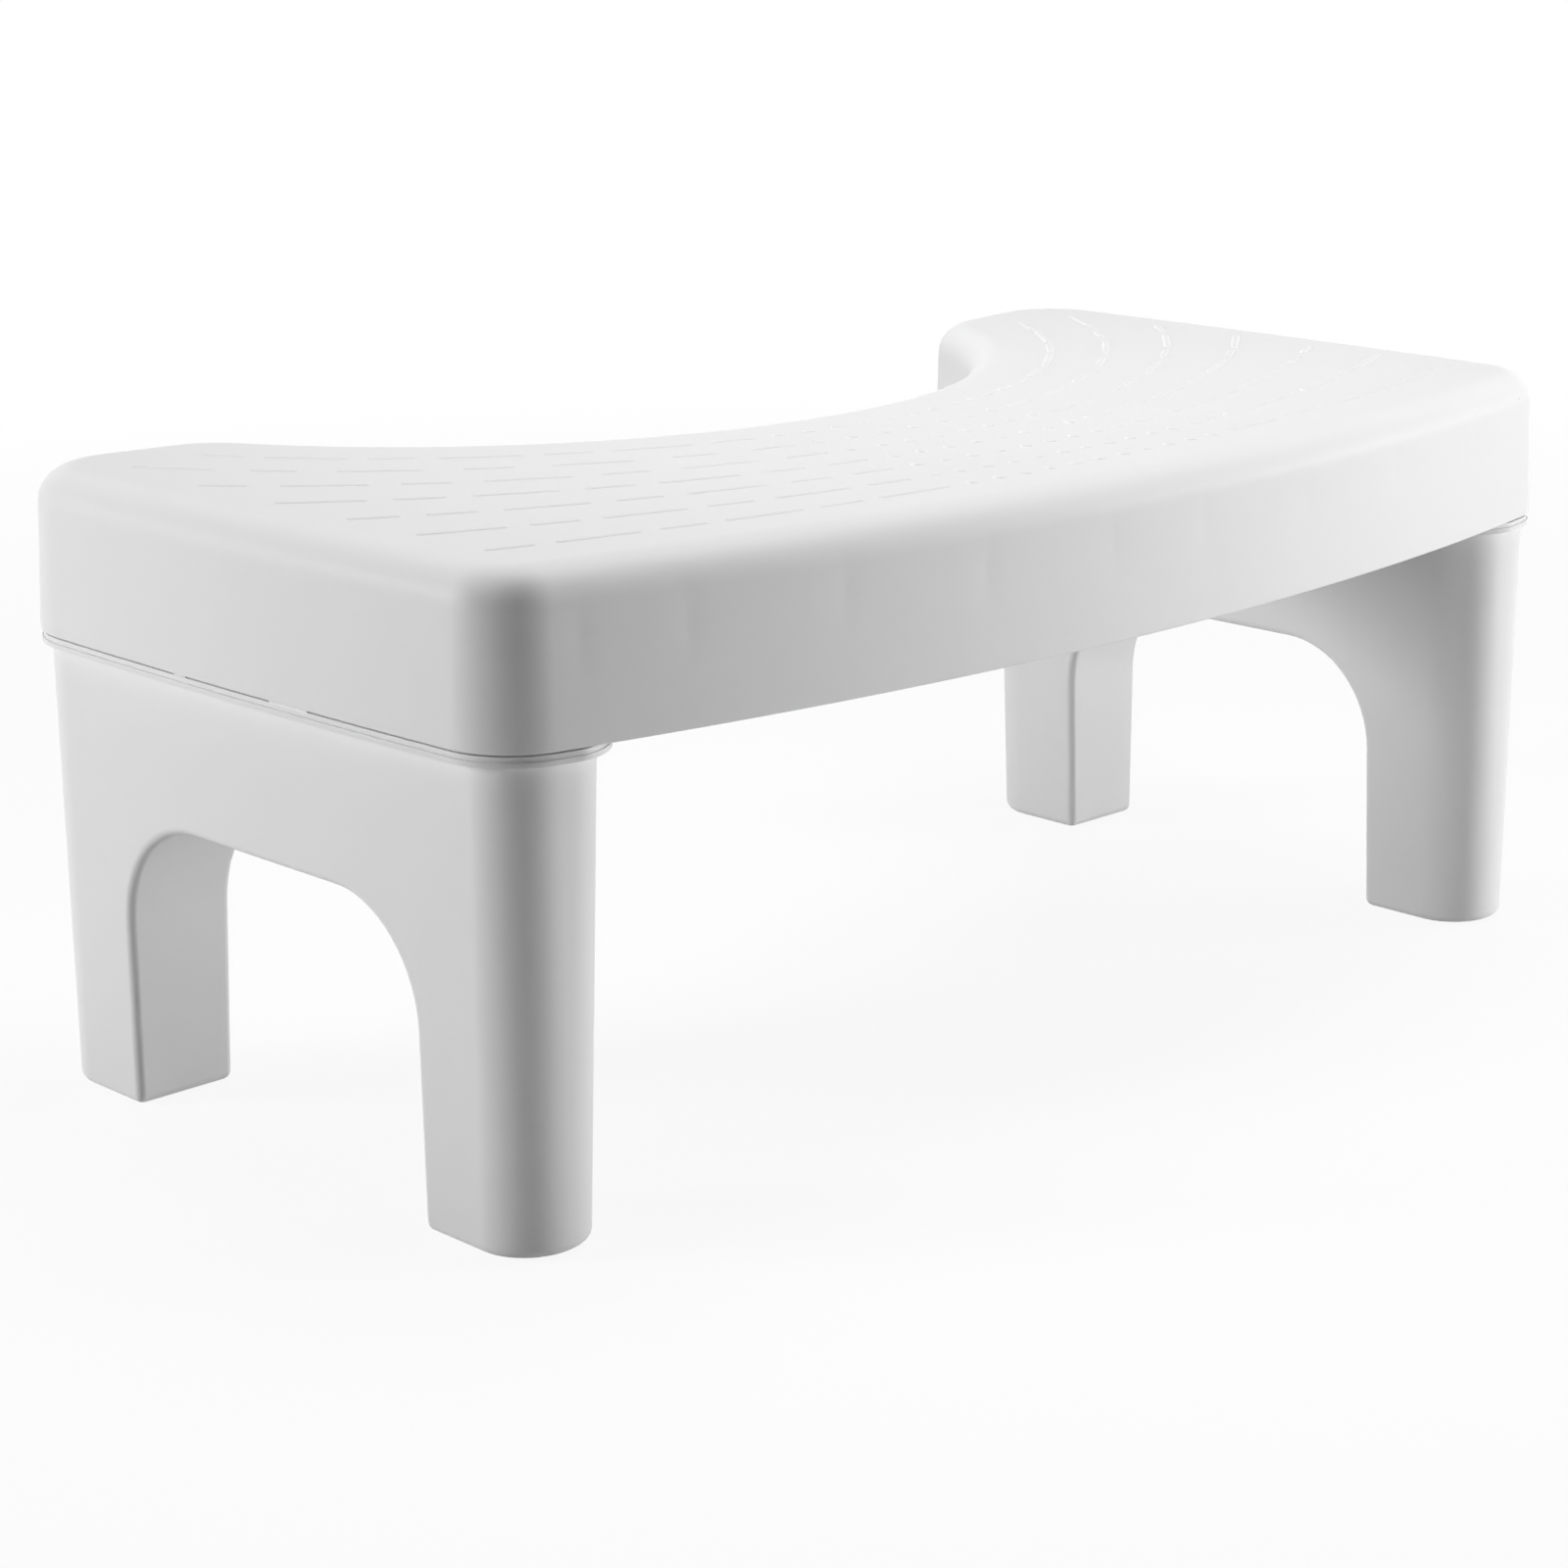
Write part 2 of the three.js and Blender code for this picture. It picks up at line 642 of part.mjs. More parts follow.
/** A foot pad, chamfered where it meets the floor. */
function footPad(centre) {
  const loop = roundedRectangle(centre, pad.width, pad.length, pad.cornerRadius, pad.cornerRadius);
  return loft(loop, [
    { inset: pad.edge, z: 0 },
    { inset: 0, z: pad.edge },
    { inset: 0, z: pad.thickness },
  ]);
}

/** One leg frame: arched body with its hollow, collar, spigot, lugs and pad pockets. */
function legFrame(outline, side) {
  const shell = frameBody(outline, side).subtract(archSpace(side, 0)).subtract(frameHollow(side));
  let solid = shell.add(latchLugs(side));
  for (const place of [-1, 1]) {
    solid = solid.subtract(padPocket(footCentre(side, place)));
  }
  return solid;
}

// Assembly

const whitePlastic = { color: 0xf3f3f1, roughness: 0.5 };
const softRubber = { color: 0xd9d9d6, roughness: 0.85 };

const outline = topOutline();
const plan = new THREE.Box2().setFromPoints(outline.map(({ point }) => point));
const group = new THREE.Group();
group.name = 'toilet_footstool';
group.position.y = -(plan.min.y + plan.max.y) / 2;
group.add(piece('top_shell', topShell(outline).add(undersideRibs(outline)).add(gripPattern()), whitePlastic));
for (const [side, sideName] of [[-1, 'left'], [1, 'right']]) {
  group.add(piece(`${sideName}_leg_frame`, legFrame(outline, side), whitePlastic));
  for (const [place, placeName] of [[-1, 'front'], [1, 'rear']]) {
    group.add(piece(`${sideName}_${placeName}_pad`, footPad(footCentre(side, place)), softRubber));
  }
}

export default group;
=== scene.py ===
"""Looks of a toilet footstool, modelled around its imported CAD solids.

Metres. X runs along the length, -Y is the front, +Y the side with the recess, +Z is up.
"""
import logging
import math
from contextlib import contextmanager
from dataclasses import dataclass, field, replace
from enum import Enum
from typing import Callable, Iterator

import bmesh
import bpy
from mathutils import Matrix, Vector


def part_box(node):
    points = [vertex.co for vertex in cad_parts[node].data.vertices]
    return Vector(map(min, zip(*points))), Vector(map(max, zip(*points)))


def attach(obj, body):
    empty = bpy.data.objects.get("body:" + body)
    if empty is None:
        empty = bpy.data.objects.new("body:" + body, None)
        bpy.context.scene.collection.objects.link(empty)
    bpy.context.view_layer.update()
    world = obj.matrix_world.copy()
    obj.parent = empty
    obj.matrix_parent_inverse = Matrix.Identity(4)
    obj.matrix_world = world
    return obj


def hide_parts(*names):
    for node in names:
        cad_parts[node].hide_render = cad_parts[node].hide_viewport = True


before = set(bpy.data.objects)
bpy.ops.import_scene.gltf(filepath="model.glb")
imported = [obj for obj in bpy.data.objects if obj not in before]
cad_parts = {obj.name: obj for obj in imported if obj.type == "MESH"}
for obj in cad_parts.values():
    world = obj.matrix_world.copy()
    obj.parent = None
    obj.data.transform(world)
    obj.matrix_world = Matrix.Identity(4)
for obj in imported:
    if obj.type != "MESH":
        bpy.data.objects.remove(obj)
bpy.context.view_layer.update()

LOG = logging.getLogger("footstool")

QUARTER_TURN = math.pi / 2
TINY = 1e-6
SHARP_ANGLE = math.radians(50)
WHITE = (1.0, 1.0, 1.0, 1.0)


# Working by hand: selections, outlines and joining


class Element(Enum):
    """What a selection in edit mode is made of."""

    VERTEX = "VERT"
    EDGE = "EDGE"
    FACE = "FACE"


class Joining(Enum):
    """How one solid is put together with another."""

    UNION = "UNION"
    CUT = "DIFFERENCE"
    OVERLAP = "INTERSECT"


class Side(Enum):
    """The end of the stool that a leg frame stands under."""

    LEFT = -1
    RIGHT = 1


def take(piece: bpy.types.Object) -> None:
    """Makes a piece the only selected object and the active one.

    Args:
        piece: The piece.
    """
    for other in bpy.context.selected_objects:
        other.select_set(False)
    piece.select_set(True)
    bpy.context.view_layer.objects.active = piece


@contextmanager
def editing(piece: bpy.types.Object, kind: Element = Element.VERTEX) -> Iterator[None]:
    """Opens a piece in edit mode with nothing selected, and closes it afterwards.

    Args:
        piece: The piece to shape.
        kind: What selections are made of.
    """
    take(piece)
    bpy.ops.object.mode_set(mode="EDIT")
    bpy.ops.mesh.select_mode(type=kind.value)
    bpy.ops.mesh.select_all(action="DESELECT")
    yield
    bpy.ops.object.mode_set(mode="OBJECT")


def choose_all() -> None:
    """Selects the whole piece in edit mode."""
    bpy.ops.mesh.select_all(action="SELECT")


def choose(piece: bpy.types.Object, kind: Element, test: Callable) -> None:
    """Selects the elements that pass a test, and nothing else.

    Args:
        piece: The piece, open in edit mode.
        kind: The elements to go through.
        test: Says of a bmesh element whether it is wanted.
    """
    bpy.ops.mesh.select_mode(type=kind.value)
    bpy.ops.mesh.select_all(action="DESELECT")
    mesh = bmesh.from_edit_mesh(piece.data)
    elements = {Element.VERTEX: mesh.verts, Element.EDGE: mesh.edges, Element.FACE: mesh.faces}[kind]
    for element in [element for element in elements if test(element)]:
        element.select_set(True)
    bmesh.update_edit_mesh(piece.data)


def choose_top(piece: bpy.types.Object) -> None:
    """Selects the faces of a piece in edit mode that look up."""
    choose(piece, Element.FACE, lambda f: f.normal.z > 1 / 2)


def is_level(edge: bmesh.types.BMEdge) -> bool:
    """Whether both ends of an edge are at one height."""
    return abs(edge.verts[0].co.z - edge.verts[1].co.z) < TINY


def face_outward() -> None:
    """Turns every face of the closed piece in edit mode outwards."""
    choose_all()
    bpy.ops.mesh.normals_make_consistent(inside=False)


def close_holes() -> None:
    """Fills each open border of the piece in edit mode with one face, and faces everything outward."""
    bpy.ops.mesh.select_mode(type=Element.EDGE.value)
    bpy.ops.mesh.select_all(action="DESELECT")
    bpy.ops.mesh.select_non_manifold(
        use_wire=False, use_boundary=True, use_multi_face=False, use_non_contiguous=False, use_verts=False
    )
    bpy.ops.mesh.edge_face_add()
    face_outward()


def inset(thickness: float, depth: float) -> None:
    """Insets the selected faces evenly and moves them along their normal."""
    bpy.ops.mesh.inset(thickness=thickness, depth=depth, use_even_offset=True, use_boundary=True)


def extrude(move: Vector) -> None:
    """Extrudes what is selected and moves it."""
    bpy.ops.mesh.extrude_region_move(TRANSFORM_OT_translate={"value": move})


def shrink_face(amount: float) -> None:
    """Moves the edge of the one face in edit mode in.

    Args:
        amount: How far it moves.
    """
    choose_all()
    inset(amount, 0)
    bpy.ops.mesh.select_all(action="INVERT")
    bpy.ops.mesh.delete(type="FACE")


def bevel_sharp(piece: bpy.types.Object, width: float, segments: int, wanted: Callable) -> None:
    """Rounds the sharp edges that pass a test.

    Args:
        piece: The piece, open in edit mode.
        width: The radius of the rounding.
        segments: The facets across it.
        wanted: Says of a sharp bmesh edge whether it is rounded.
    """
    choose(piece, Element.EDGE, lambda e: e.is_manifold and e.calc_face_angle(0) > SHARP_ANGLE and wanted(e))
    bpy.ops.mesh.bevel(offset=width, segments=segments, affect="EDGES", clamp_overlap=False)


def combine(piece: bpy.types.Object, tool: bpy.types.Object, how: Joining, solver: str = "MANIFOLD") -> None:
    """Puts a tool's solid together with a piece, and removes the tool.

    Args:
        piece: The piece that keeps the result.
        tool: The other solid.
        how: Whether they are joined, cut or reduced to their overlap.
        solver: Blender's name of the method.
    """
    take(piece)
    bpy.ops.object.modifier_add(type="BOOLEAN")
    modifier = piece.modifiers[-1]
    modifier.operation = how.value
    modifier.solver = solver
    modifier.object = tool
    bpy.ops.object.modifier_apply(modifier=modifier.name)
    bpy.data.objects.remove(tool)


def merge_objects(pieces: list[bpy.types.Object], name: str) -> bpy.types.Object:
    """Joins pieces into one object without touching their faces.

    Args:
        pieces: The objects, all at the origin.
        name: The name of the result.

    Returns:
        The joined object.
    """
    take(pieces[0])
    for piece in pieces:
        piece.select_set(True)
    bpy.ops.object.join()
    pieces[0].name = name
    pieces[0].data.name = name
    return pieces[0]


def copy_of(piece: bpy.types.Object, place: Matrix) -> bpy.types.Object:
    """Copies a piece with its own mesh, placed in that mesh.

    Args:
        piece: The piece to copy.
        place: Where the copy goes.

    Returns:
        The copy.
    """
    twin = piece.copy()
    twin.data = piece.data.copy()
    twin.data.transform(place)
    bpy.context.scene.collection.objects.link(twin)
    return twin


def smooth(piece: bpy.types.Object, crease: float = math.radians(32)) -> None:
    """Shades a piece smooth between its creases, with normals that keep its flat faces flat.

    Args:
        piece: The piece.
        crease: The angle between two faces past which their edge stays sharp.
    """
    take(piece)
    bpy.ops.object.shade_smooth_by_angle(angle=crease)
    bpy.ops.object.modifier_add(type="WEIGHTED_NORMAL")
    modifier = piece.modifiers[-1]
    modifier.keep_sharp = True
    bpy.ops.object.modifier_apply(modifier=modifier.name)


def quarter_round(radius: float, steps: int) -> list[tuple[float, float]]:
    """The moves that go up a quarter circle, from a wall to the face above it.

    Args:
        radius: The circle's radius.
        steps: How many moves there are.

    Returns:
        An inward and an upward move for each step.
    """
    angles = [QUARTER_TURN * i / steps for i in range(steps + 1)]
    pairs = zip(angles, angles[1:])
    return [(radius * (math.cos(a) - math.cos(b)), radius * (math.sin(b) - math.sin(a))) for a, b in pairs]


class Pen:
    """Draws a line stretch by stretch from one vertex, in a plane square to its axis."""

    def __init__(self, name: str, start: Vector, axis: Vector) -> None:
        """Puts down the first vertex.

        Args:
            name: The name of the drawn piece.
            start: Where the line begins.
            axis: The direction that the drawing faces.
        """
        bpy.ops.mesh.primitive_plane_add(size=1)
        self.piece = bpy.context.active_object
        self.piece.name = name
        self.axis = axis
        self.tip = start.copy()
        take(self.piece)
        bpy.ops.object.mode_set(mode="EDIT")
        bpy.ops.mesh.select_mode(type=Element.VERTEX.value)
        choose_all()
        bpy.ops.mesh.merge(type="CENTER")
        bpy.ops.transform.translate(value=start)

    def line(self, end: Vector) -> None:
        """Draws a straight stretch."""
        extrude(end - self.tip)
        self.tip = end.copy()

    def arc(self, centre: Vector, angle: float, steps: int) -> None:
        """Draws an arc about a centre. A positive angle turns anticlockwise, seen against the axis."""
        bpy.ops.mesh.spin(steps=steps, angle=-angle, center=centre, axis=self.axis)
        self.tip = centre + Matrix.Rotation(angle, 3, self.axis) @ (self.tip - centre)

    def mirror_and_fill(self, across: Vector, middle: Vector) -> bpy.types.Object:
        """Mirrors the drawn half and fills the closed outline with one face.

        Args:
            across: A scale that is -1 along the direction to mirror.
            middle: A point on the mirror's plane.

        Returns:
            The filled outline, facing along the pen's axis.
        """
        choose_all()
        bpy.ops.mesh.duplicate()
        bpy.ops.transform.resize(value=across, center_override=middle)
        choose_all()
        bpy.ops.mesh.remove_doubles(threshold=TINY)
        bpy.ops.mesh.edge_face_add()
        mesh = bmesh.from_edit_mesh(self.piece.data)
        mesh.faces.ensure_lookup_table()
        if mesh.faces[0].normal.dot(self.axis) < 0:
            bpy.ops.mesh.flip_normals()
        bpy.ops.object.mode_set(mode="OBJECT")
        return self.piece


@dataclass(frozen=True)
class Plate:
    """A rectangle with rounded corners, seen from above."""

    x: float
    y: float
    width: float
    depth: float
    front_radius: float
    rear_radius: float
    least_flat: float = 0.0005
    corner_steps: int = 12

    def inset(self, amount: float) -> "Plate":
        """The same plate with its edge moved in.

        Args:
            amount: How far it moves.

        Returns:
            The smaller plate.
        """
        return replace(
            self,
            width=self.width - 2 * amount,
            depth=self.depth - 2 * amount,
            front_radius=self.front_radius - amount,
            rear_radius=self.rear_radius - amount,
        )

    def draw(self, name: str, z: float) -> bpy.types.Object:
        """Draws the plate as one face.

        Args:
            name: The name of the drawn piece.
            z: Its height.

        Returns:
            The face, facing up.
        """
        bpy.ops.mesh.primitive_plane_add(size=1)
        piece = bpy.context.active_object
        piece.name = name
        most = (min(self.width, self.depth) - self.least_flat) / 2
        with editing(piece):
            choose_all()
            bpy.ops.transform.resize(value=(self.width, self.depth, 1), center_override=(0, 0, 0))
            bpy.ops.transform.translate(value=(self.x, self.y, z))
            for rear, radius in ((False, self.front_radius), (True, self.rear_radius)):
                choose(piece, Element.VERTEX, self.corner_test(rear))
                bpy.ops.mesh.bevel(
                    affect="VERTICES",
                    offset=min(radius, most),
                    segments=self.corner_steps,
                    clamp_overlap=False,
                )
        return piece

    def corner_test(self, rear: bool) -> Callable:
        """A test for the two sharp corners in front or at the rear.

        Args:
            rear: Whether those at the rear are wanted.

        Returns:
            The test, of a bmesh vertex.
        """
        y = self.y + (self.depth if rear else -self.depth) / 2
        reach = self.width / 2 - TINY
        return lambda v: abs(v.co.y - y) < TINY and abs(v.co.x - self.x) > reach

    def prism(self, name: str, low: float, high: float) -> bpy.types.Object:
        """A solid block of this plate.

        Args:
            name: The name of the piece.
            low: The height of its lower face.
            high: The height of its upper face.

        Returns:
            The block.
        """
        return raised(self.draw(name, low), Vector((0, 0, high - low)))


def raised(piece: bpy.types.Object, move: Vector) -> bpy.types.Object:
    """Extrudes a drawn face into a closed block.

    Args:
        piece: The face.
        move: The way to its other end.

    Returns:
        The same piece, now a block.
    """
    with editing(piece, Element.FACE):
        choose_all()
        extrude(move)
        face_outward()
    return piece


def bridged(lower: bpy.types.Object, upper: bpy.types.Object, name: str) -> bpy.types.Object:
    """Makes a closed block between two drawn faces that have as many corners.

    Args:
        lower: One face.
        upper: The other.
        name: The name of the block.

    Returns:
        The block.
    """
    piece = merge_objects([lower, upper], name)
    with editing(piece, Element.FACE):
        choose_all()
        bpy.ops.mesh.delete(type="ONLY_FACE")
        bpy.ops.mesh.select_mode(type=Element.EDGE.value)
        choose_all()
        bpy.ops.mesh.bridge_edge_loops()
        close_holes()
    return piece


def block(name: str, low: Vector, high: Vector) -> bpy.types.Object:
    """A plain cutting or joining block between two corners.

    Args:
        name: The name of the piece.
        low: Its lowest corner.
        high: Its highest corner.

    Returns:
        The block.
    """
    bpy.ops.mesh.primitive_cube_add(size=1)
    piece = bpy.context.active_object
    piece.name = name
    with editing(piece):
        choose_all()
        bpy.ops.transform.resize(value=high - low, center_override=(0, 0, 0))
        bpy.ops.transform.translate(value=(low + high) / 2)
    return piece


# The platform


@dataclass
class Plan:
    """The platform's outline seen from above, at the skirt's lower edge."""

    front_y: float
    length: float = 0.432
    end_width: float = 0.218
    end_bulge: float = 0.0026
    front_bulge: float = 0.0258
    recess_depth: float = 0.109
    ear_length: float = 0.069
    ear_slant: float = 0.011
    front_corner_radius: float = 0.0218
    rear_corner_radius: float = 0.0275
    recess_corner_radius: float = 0.028
    front_steps: int = 30
    corner_steps: int = 14
    end_steps: int = 6
    recess_steps: int = 36

    @property
    def end_x(self) -> float:
        """The end face."""
        return self.length / 2

    @property
    def corner_y(self) -> float:
        """Where the front corners would be if they were sharp."""
        return self.front_y + self.front_bulge

    @property
    def rear_y(self) -> float:
        """The line through the rear corners."""
        return self.corner_y + self.end_width

    @property
    def recess_y(self) -> float:
        """The deepest point of the recess."""
        return self.rear_y - self.recess_depth

    @property
    def ear_x(self) -> float:
        """Where an ear's rear edge meets the recess."""
        return self.end_x - self.ear_length

    @property
    def recess_radius(self) -> float:
        """The radius of the recess."""
        return arc_radius(self.ear_x, self.rear_y - self.ear_slant - self.recess_y)

    def draw(self, name: str, z: float) -> bpy.types.Object:
        """Draws the outline as one face.

        Args:
            name: The name of the drawn piece.
            z: Its height.

        Returns:
            The face, facing up.
        """
        front_radius = arc_radius(self.end_x, self.front_bulge)
        front_centre = Vector((0, self.front_y + front_radius, z))
        end_radius = arc_radius(self.end_width / 2, self.end_bulge)
        end_centre = Vector((self.end_x - end_radius, (self.corner_y + self.rear_y) / 2, z))
        recess_centre = Vector((0, self.recess_y + self.recess_radius, z))

        front = circles_meet(
            front_centre,
            front_radius - self.front_corner_radius,
            end_centre,
            end_radius - self.front_corner_radius,
        )
        edge = Vector((-self.ear_length, -self.ear_slant, 0)).normalized()
        normal = Vector((edge.y, -edge.x, 0))
        ear = Vector((self.end_x, self.rear_y, z))
        rear = line_meets_circle(
            ear - normal * self.rear_corner_radius, edge, end_centre, end_radius - self.rear_corner_radius
        )
        inner = line_meets_circle(
            ear - normal * self.recess_corner_radius,
            edge,
            recess_centre,
            self.recess_radius + self.recess_corner_radius,
        )

        front_angle = angle_from(front_centre, front)
        end_start = angle_from(end_centre, front)
        end_stop = angle_from(end_centre, rear)
        rear_angle = math.atan2(normal.y, normal.x)
        recess_angle = angle_from(recess_centre, inner)

        pen = Pen(name, Vector((0, self.front_y, z)), Vector((0, 0, 1)))
        pen.arc(front_centre, front_angle + QUARTER_TURN, self.front_steps)
        pen.arc(front, end_start - front_angle, self.corner_steps)
        pen.arc(end_centre, end_stop - end_start, self.end_steps)
        pen.arc(rear, rear_angle - end_stop, self.corner_steps)
        pen.line(inner + normal * self.recess_corner_radius)
        pen.arc(inner, math.pi + recess_angle - rear_angle, self.corner_steps)
        pen.arc(recess_centre, -QUARTER_TURN - recess_angle, self.recess_steps)
        return pen.mirror_and_fill(Vector((-1, 1, 1)), Vector((0, 0, z)))

    def prism(self, name: str, inward: float, low: float, high: float) -> bpy.types.Object:
        """A block of this outline.

        Args:
            name: The name of the piece.
            inward: How far its edge is moved in.
            low: The height of its lower face.
            high: The height of its upper face.

        Returns:
            The block.
        """
        piece = self.draw(name, low)
        with editing(piece, Element.FACE):
            shrink_face(inward)
        return raised(piece, Vector((0, 0, high - low)))


def arc_radius(half_chord: float, rise: float) -> float:
    """The radius of a circle whose arc has this half chord and rise."""
    return (half_chord**2 + rise**2) / (2 * rise)


def angle_from(centre: Vector, point: Vector) -> float:
    """The direction of a point seen from a centre."""
    return math.atan2(point.y - centre.y, point.x - centre.x)


def line_meets_circle(start: Vector, direction: Vector, centre: Vector, radius: float) -> Vector:
    """The first place where a level line meets a circle.

    Args:
        start: A point on the line.
        direction: The line's direction, of length 1.
        centre: The circle's centre.
        radius: The circle's radius.

    Returns:
        The place.
    """
    offset = start - centre
    along = offset.dot(direction)
    across = offset.length_squared - along**2
    return start - direction * (along + math.sqrt(radius**2 - across))


def circles_meet(first: Vector, first_radius: float, second: Vector, second_radius: float) -> Vector:
    """The place where two level circles meet, on the left of the way from the first to the second.

    Args:
        first: The centre of the first circle.
        first_radius: Its radius.
        second: The centre of the second circle.
        second_radius: Its radius.

    Returns:
        The place.
    """
    way = second - first
    distance = way.length
    way.normalize()
    along = (first_radius**2 - second_radius**2 + distance**2) / (2 * distance)
    left = Vector((-way.y, way.x, 0))
    return first + way * along + left * math.sqrt(first_radius**2 - along**2)


@dataclass(frozen=True)
class GripRow:
    """One row of grip marks: dots across its middle, then dashes read from the outer end inward."""

    dots: int
    span_share: float
    dashes: str


@dataclass
class GripPattern:
    """The raised dots and dashes on the standing face.

    A mark's wall ends a little below that face, and the crown's moves lead inward and up from there.
    """

    plan: Plan
    top_z: float
    width: float = 0.0024
    end_flat_share: float = 0.01
    root: float = 0.0004
    crown_start: float = 0.0001
    crown: tuple[tuple[float, float], ...] = (
        (0.00022, 0.00030),
        (0.00030, 0.00014),
        (0.00035, 0.00006),
    )
    long_dash: float = 0.0242
    short_dash: float = 0.0142
    dot_diameter: float = 0.0036
    dot_span: float = 0.098
    dot_margin: float = 0.008
    end_margin: float = 0.0215
    fan: float = math.radians(61)
    recess_margin: float = 0.013
    front_inset: float = 0.0228
    rear_inset: float = 0.0255
    front_row_radius: float = 0.694
    rear_row_radius: float = 0.192
    row_spread: float = 0.0008
    corner_steps: int = 6
    rows: tuple[GripRow, ...] = (
        GripRow(11, 1, "SLSLSL"),
        GripRow(11, 1, "LSLSLS"),
        GripRow(9, 0.84, "SSLSLSS"),
        GripRow(8, 0.74, "LSLSLSS"),
        GripRow(8, 0.76, "SLSLSLS"),
        GripRow(7, 0.73, "LSLSLSS"),
        GripRow(8, 0.74, "SLSLSLS"),
    )

    def pattern_mark(self, name: str, length: float, width: float) -> bpy.types.Object:
        """One mark at the origin, with a soft crown that rises out of the standing face.

        Args:
            name: The name of the mark.
            length: Its length along X.
            width: Its width, which is also its length for a dot.

        Returns:
            The mark.
        """
        flat = width * self.end_flat_share
        plate = Plate(0, 0, length, width, width / 2, width / 2, flat, self.corner_steps)
        mark = plate.prism(name, self.top_z - self.root, self.top_z - self.crown_start)
        with editing(mark, Element.FACE):
            choose_top(mark)
            half_length, half_width = length / 2, width / 2
            for inward, upward in self.crown:
                extrude(Vector((0, 0, upward)))
                shrink = (1 - inward / half_length, 1 - inward / half_width, 1)
                bpy.ops.transform.resize(value=shrink, center_override=(0, 0, 0))
                half_length -= inward
                half_width -= inward
        return mark

    def places(self) -> Iterator[tuple[str, float, float, float]]:
        """Lays the rows out on arcs that fan from the front edge to the recess.

        Yields:
            Every mark's kind, X, Y and turn.
        """
        first_y = self.plan.front_y + self.front_inset
        last_y = self.plan.recess_y - self.rear_inset
        end_x = self.plan.end_x - self.end_margin
        last_row = len(self.rows) - 1
        lengths = {"L": self.long_dash, "S": self.short_dash}
        for number, row in enumerate(self.rows):
            share = number / last_row
            middle_y = first_y + (last_y - first_y) * share - self.row_spread * last_row * share * (1 - share)
            radius = 1 / ((1 - share) / self.front_row_radius + share / self.rear_row_radius)
            span = self.dot_span * row.span_share
            arcs = [("dot", span * (i / (row.dots - 1) - 1 / 2)) for i in range(row.dots)]
            outer = radius * min(math.asin(min(end_x / radius, 1)), self.fan)
            total = sum(lengths[letter] for letter in row.dashes)
            gap = (outer - span / 2 - self.dot_margin - total) / (len(row.dashes) - 1)
            end = outer
            for letter in row.dashes:
                arcs += [(letter, end - lengths[letter] / 2), (letter, lengths[letter] / 2 - end)]
                end -= lengths[letter] + gap
            for kind, arc in arcs:
                angle = arc / radius
                x = radius * math.sin(angle)
                y = middle_y + radius * (1 - math.cos(angle))
                if self.fits(x, y):
                    yield kind, x, y, angle

    def fits(self, x: float, y: float) -> bool:
        """Whether a mark keeps its distance from the recess and the ears' rear edges.

        Args:
            x: The mark's place along the length.
            y: Its place from front to rear.

        Returns:
            True where there is room for it.
        """
        plan = self.plan
        to_recess = math.hypot(x, y - plan.recess_y - plan.recess_radius) - plan.recess_radius
        return to_recess > self.recess_margin and y < plan.rear_y - plan.ear_slant - self.recess_margin

    def build(self) -> bpy.types.Object:
        """Models each kind of mark once and copies it along the rows.

        Returns:
            All the marks in one object.
        """
        kinds = {
            "dot": self.pattern_mark("grip_dot", self.dot_diameter, self.dot_diameter),
            "L": self.pattern_mark("long_dash", self.long_dash, self.width),
            "S": self.pattern_mark("short_dash", self.short_dash, self.width),
        }
        marks = []
        for kind, x, y, angle in self.places():
            place = Matrix.Translation((x, y, 0)) @ Matrix.Rotation(angle, 4, "Z")
            marks.append(copy_of(kinds[kind], place))
        for pattern in kinds.values():
            bpy.data.objects.remove(pattern)
        LOG.info("grip marks: %d", len(marks))
        return merge_objects(marks, "grip_marks")


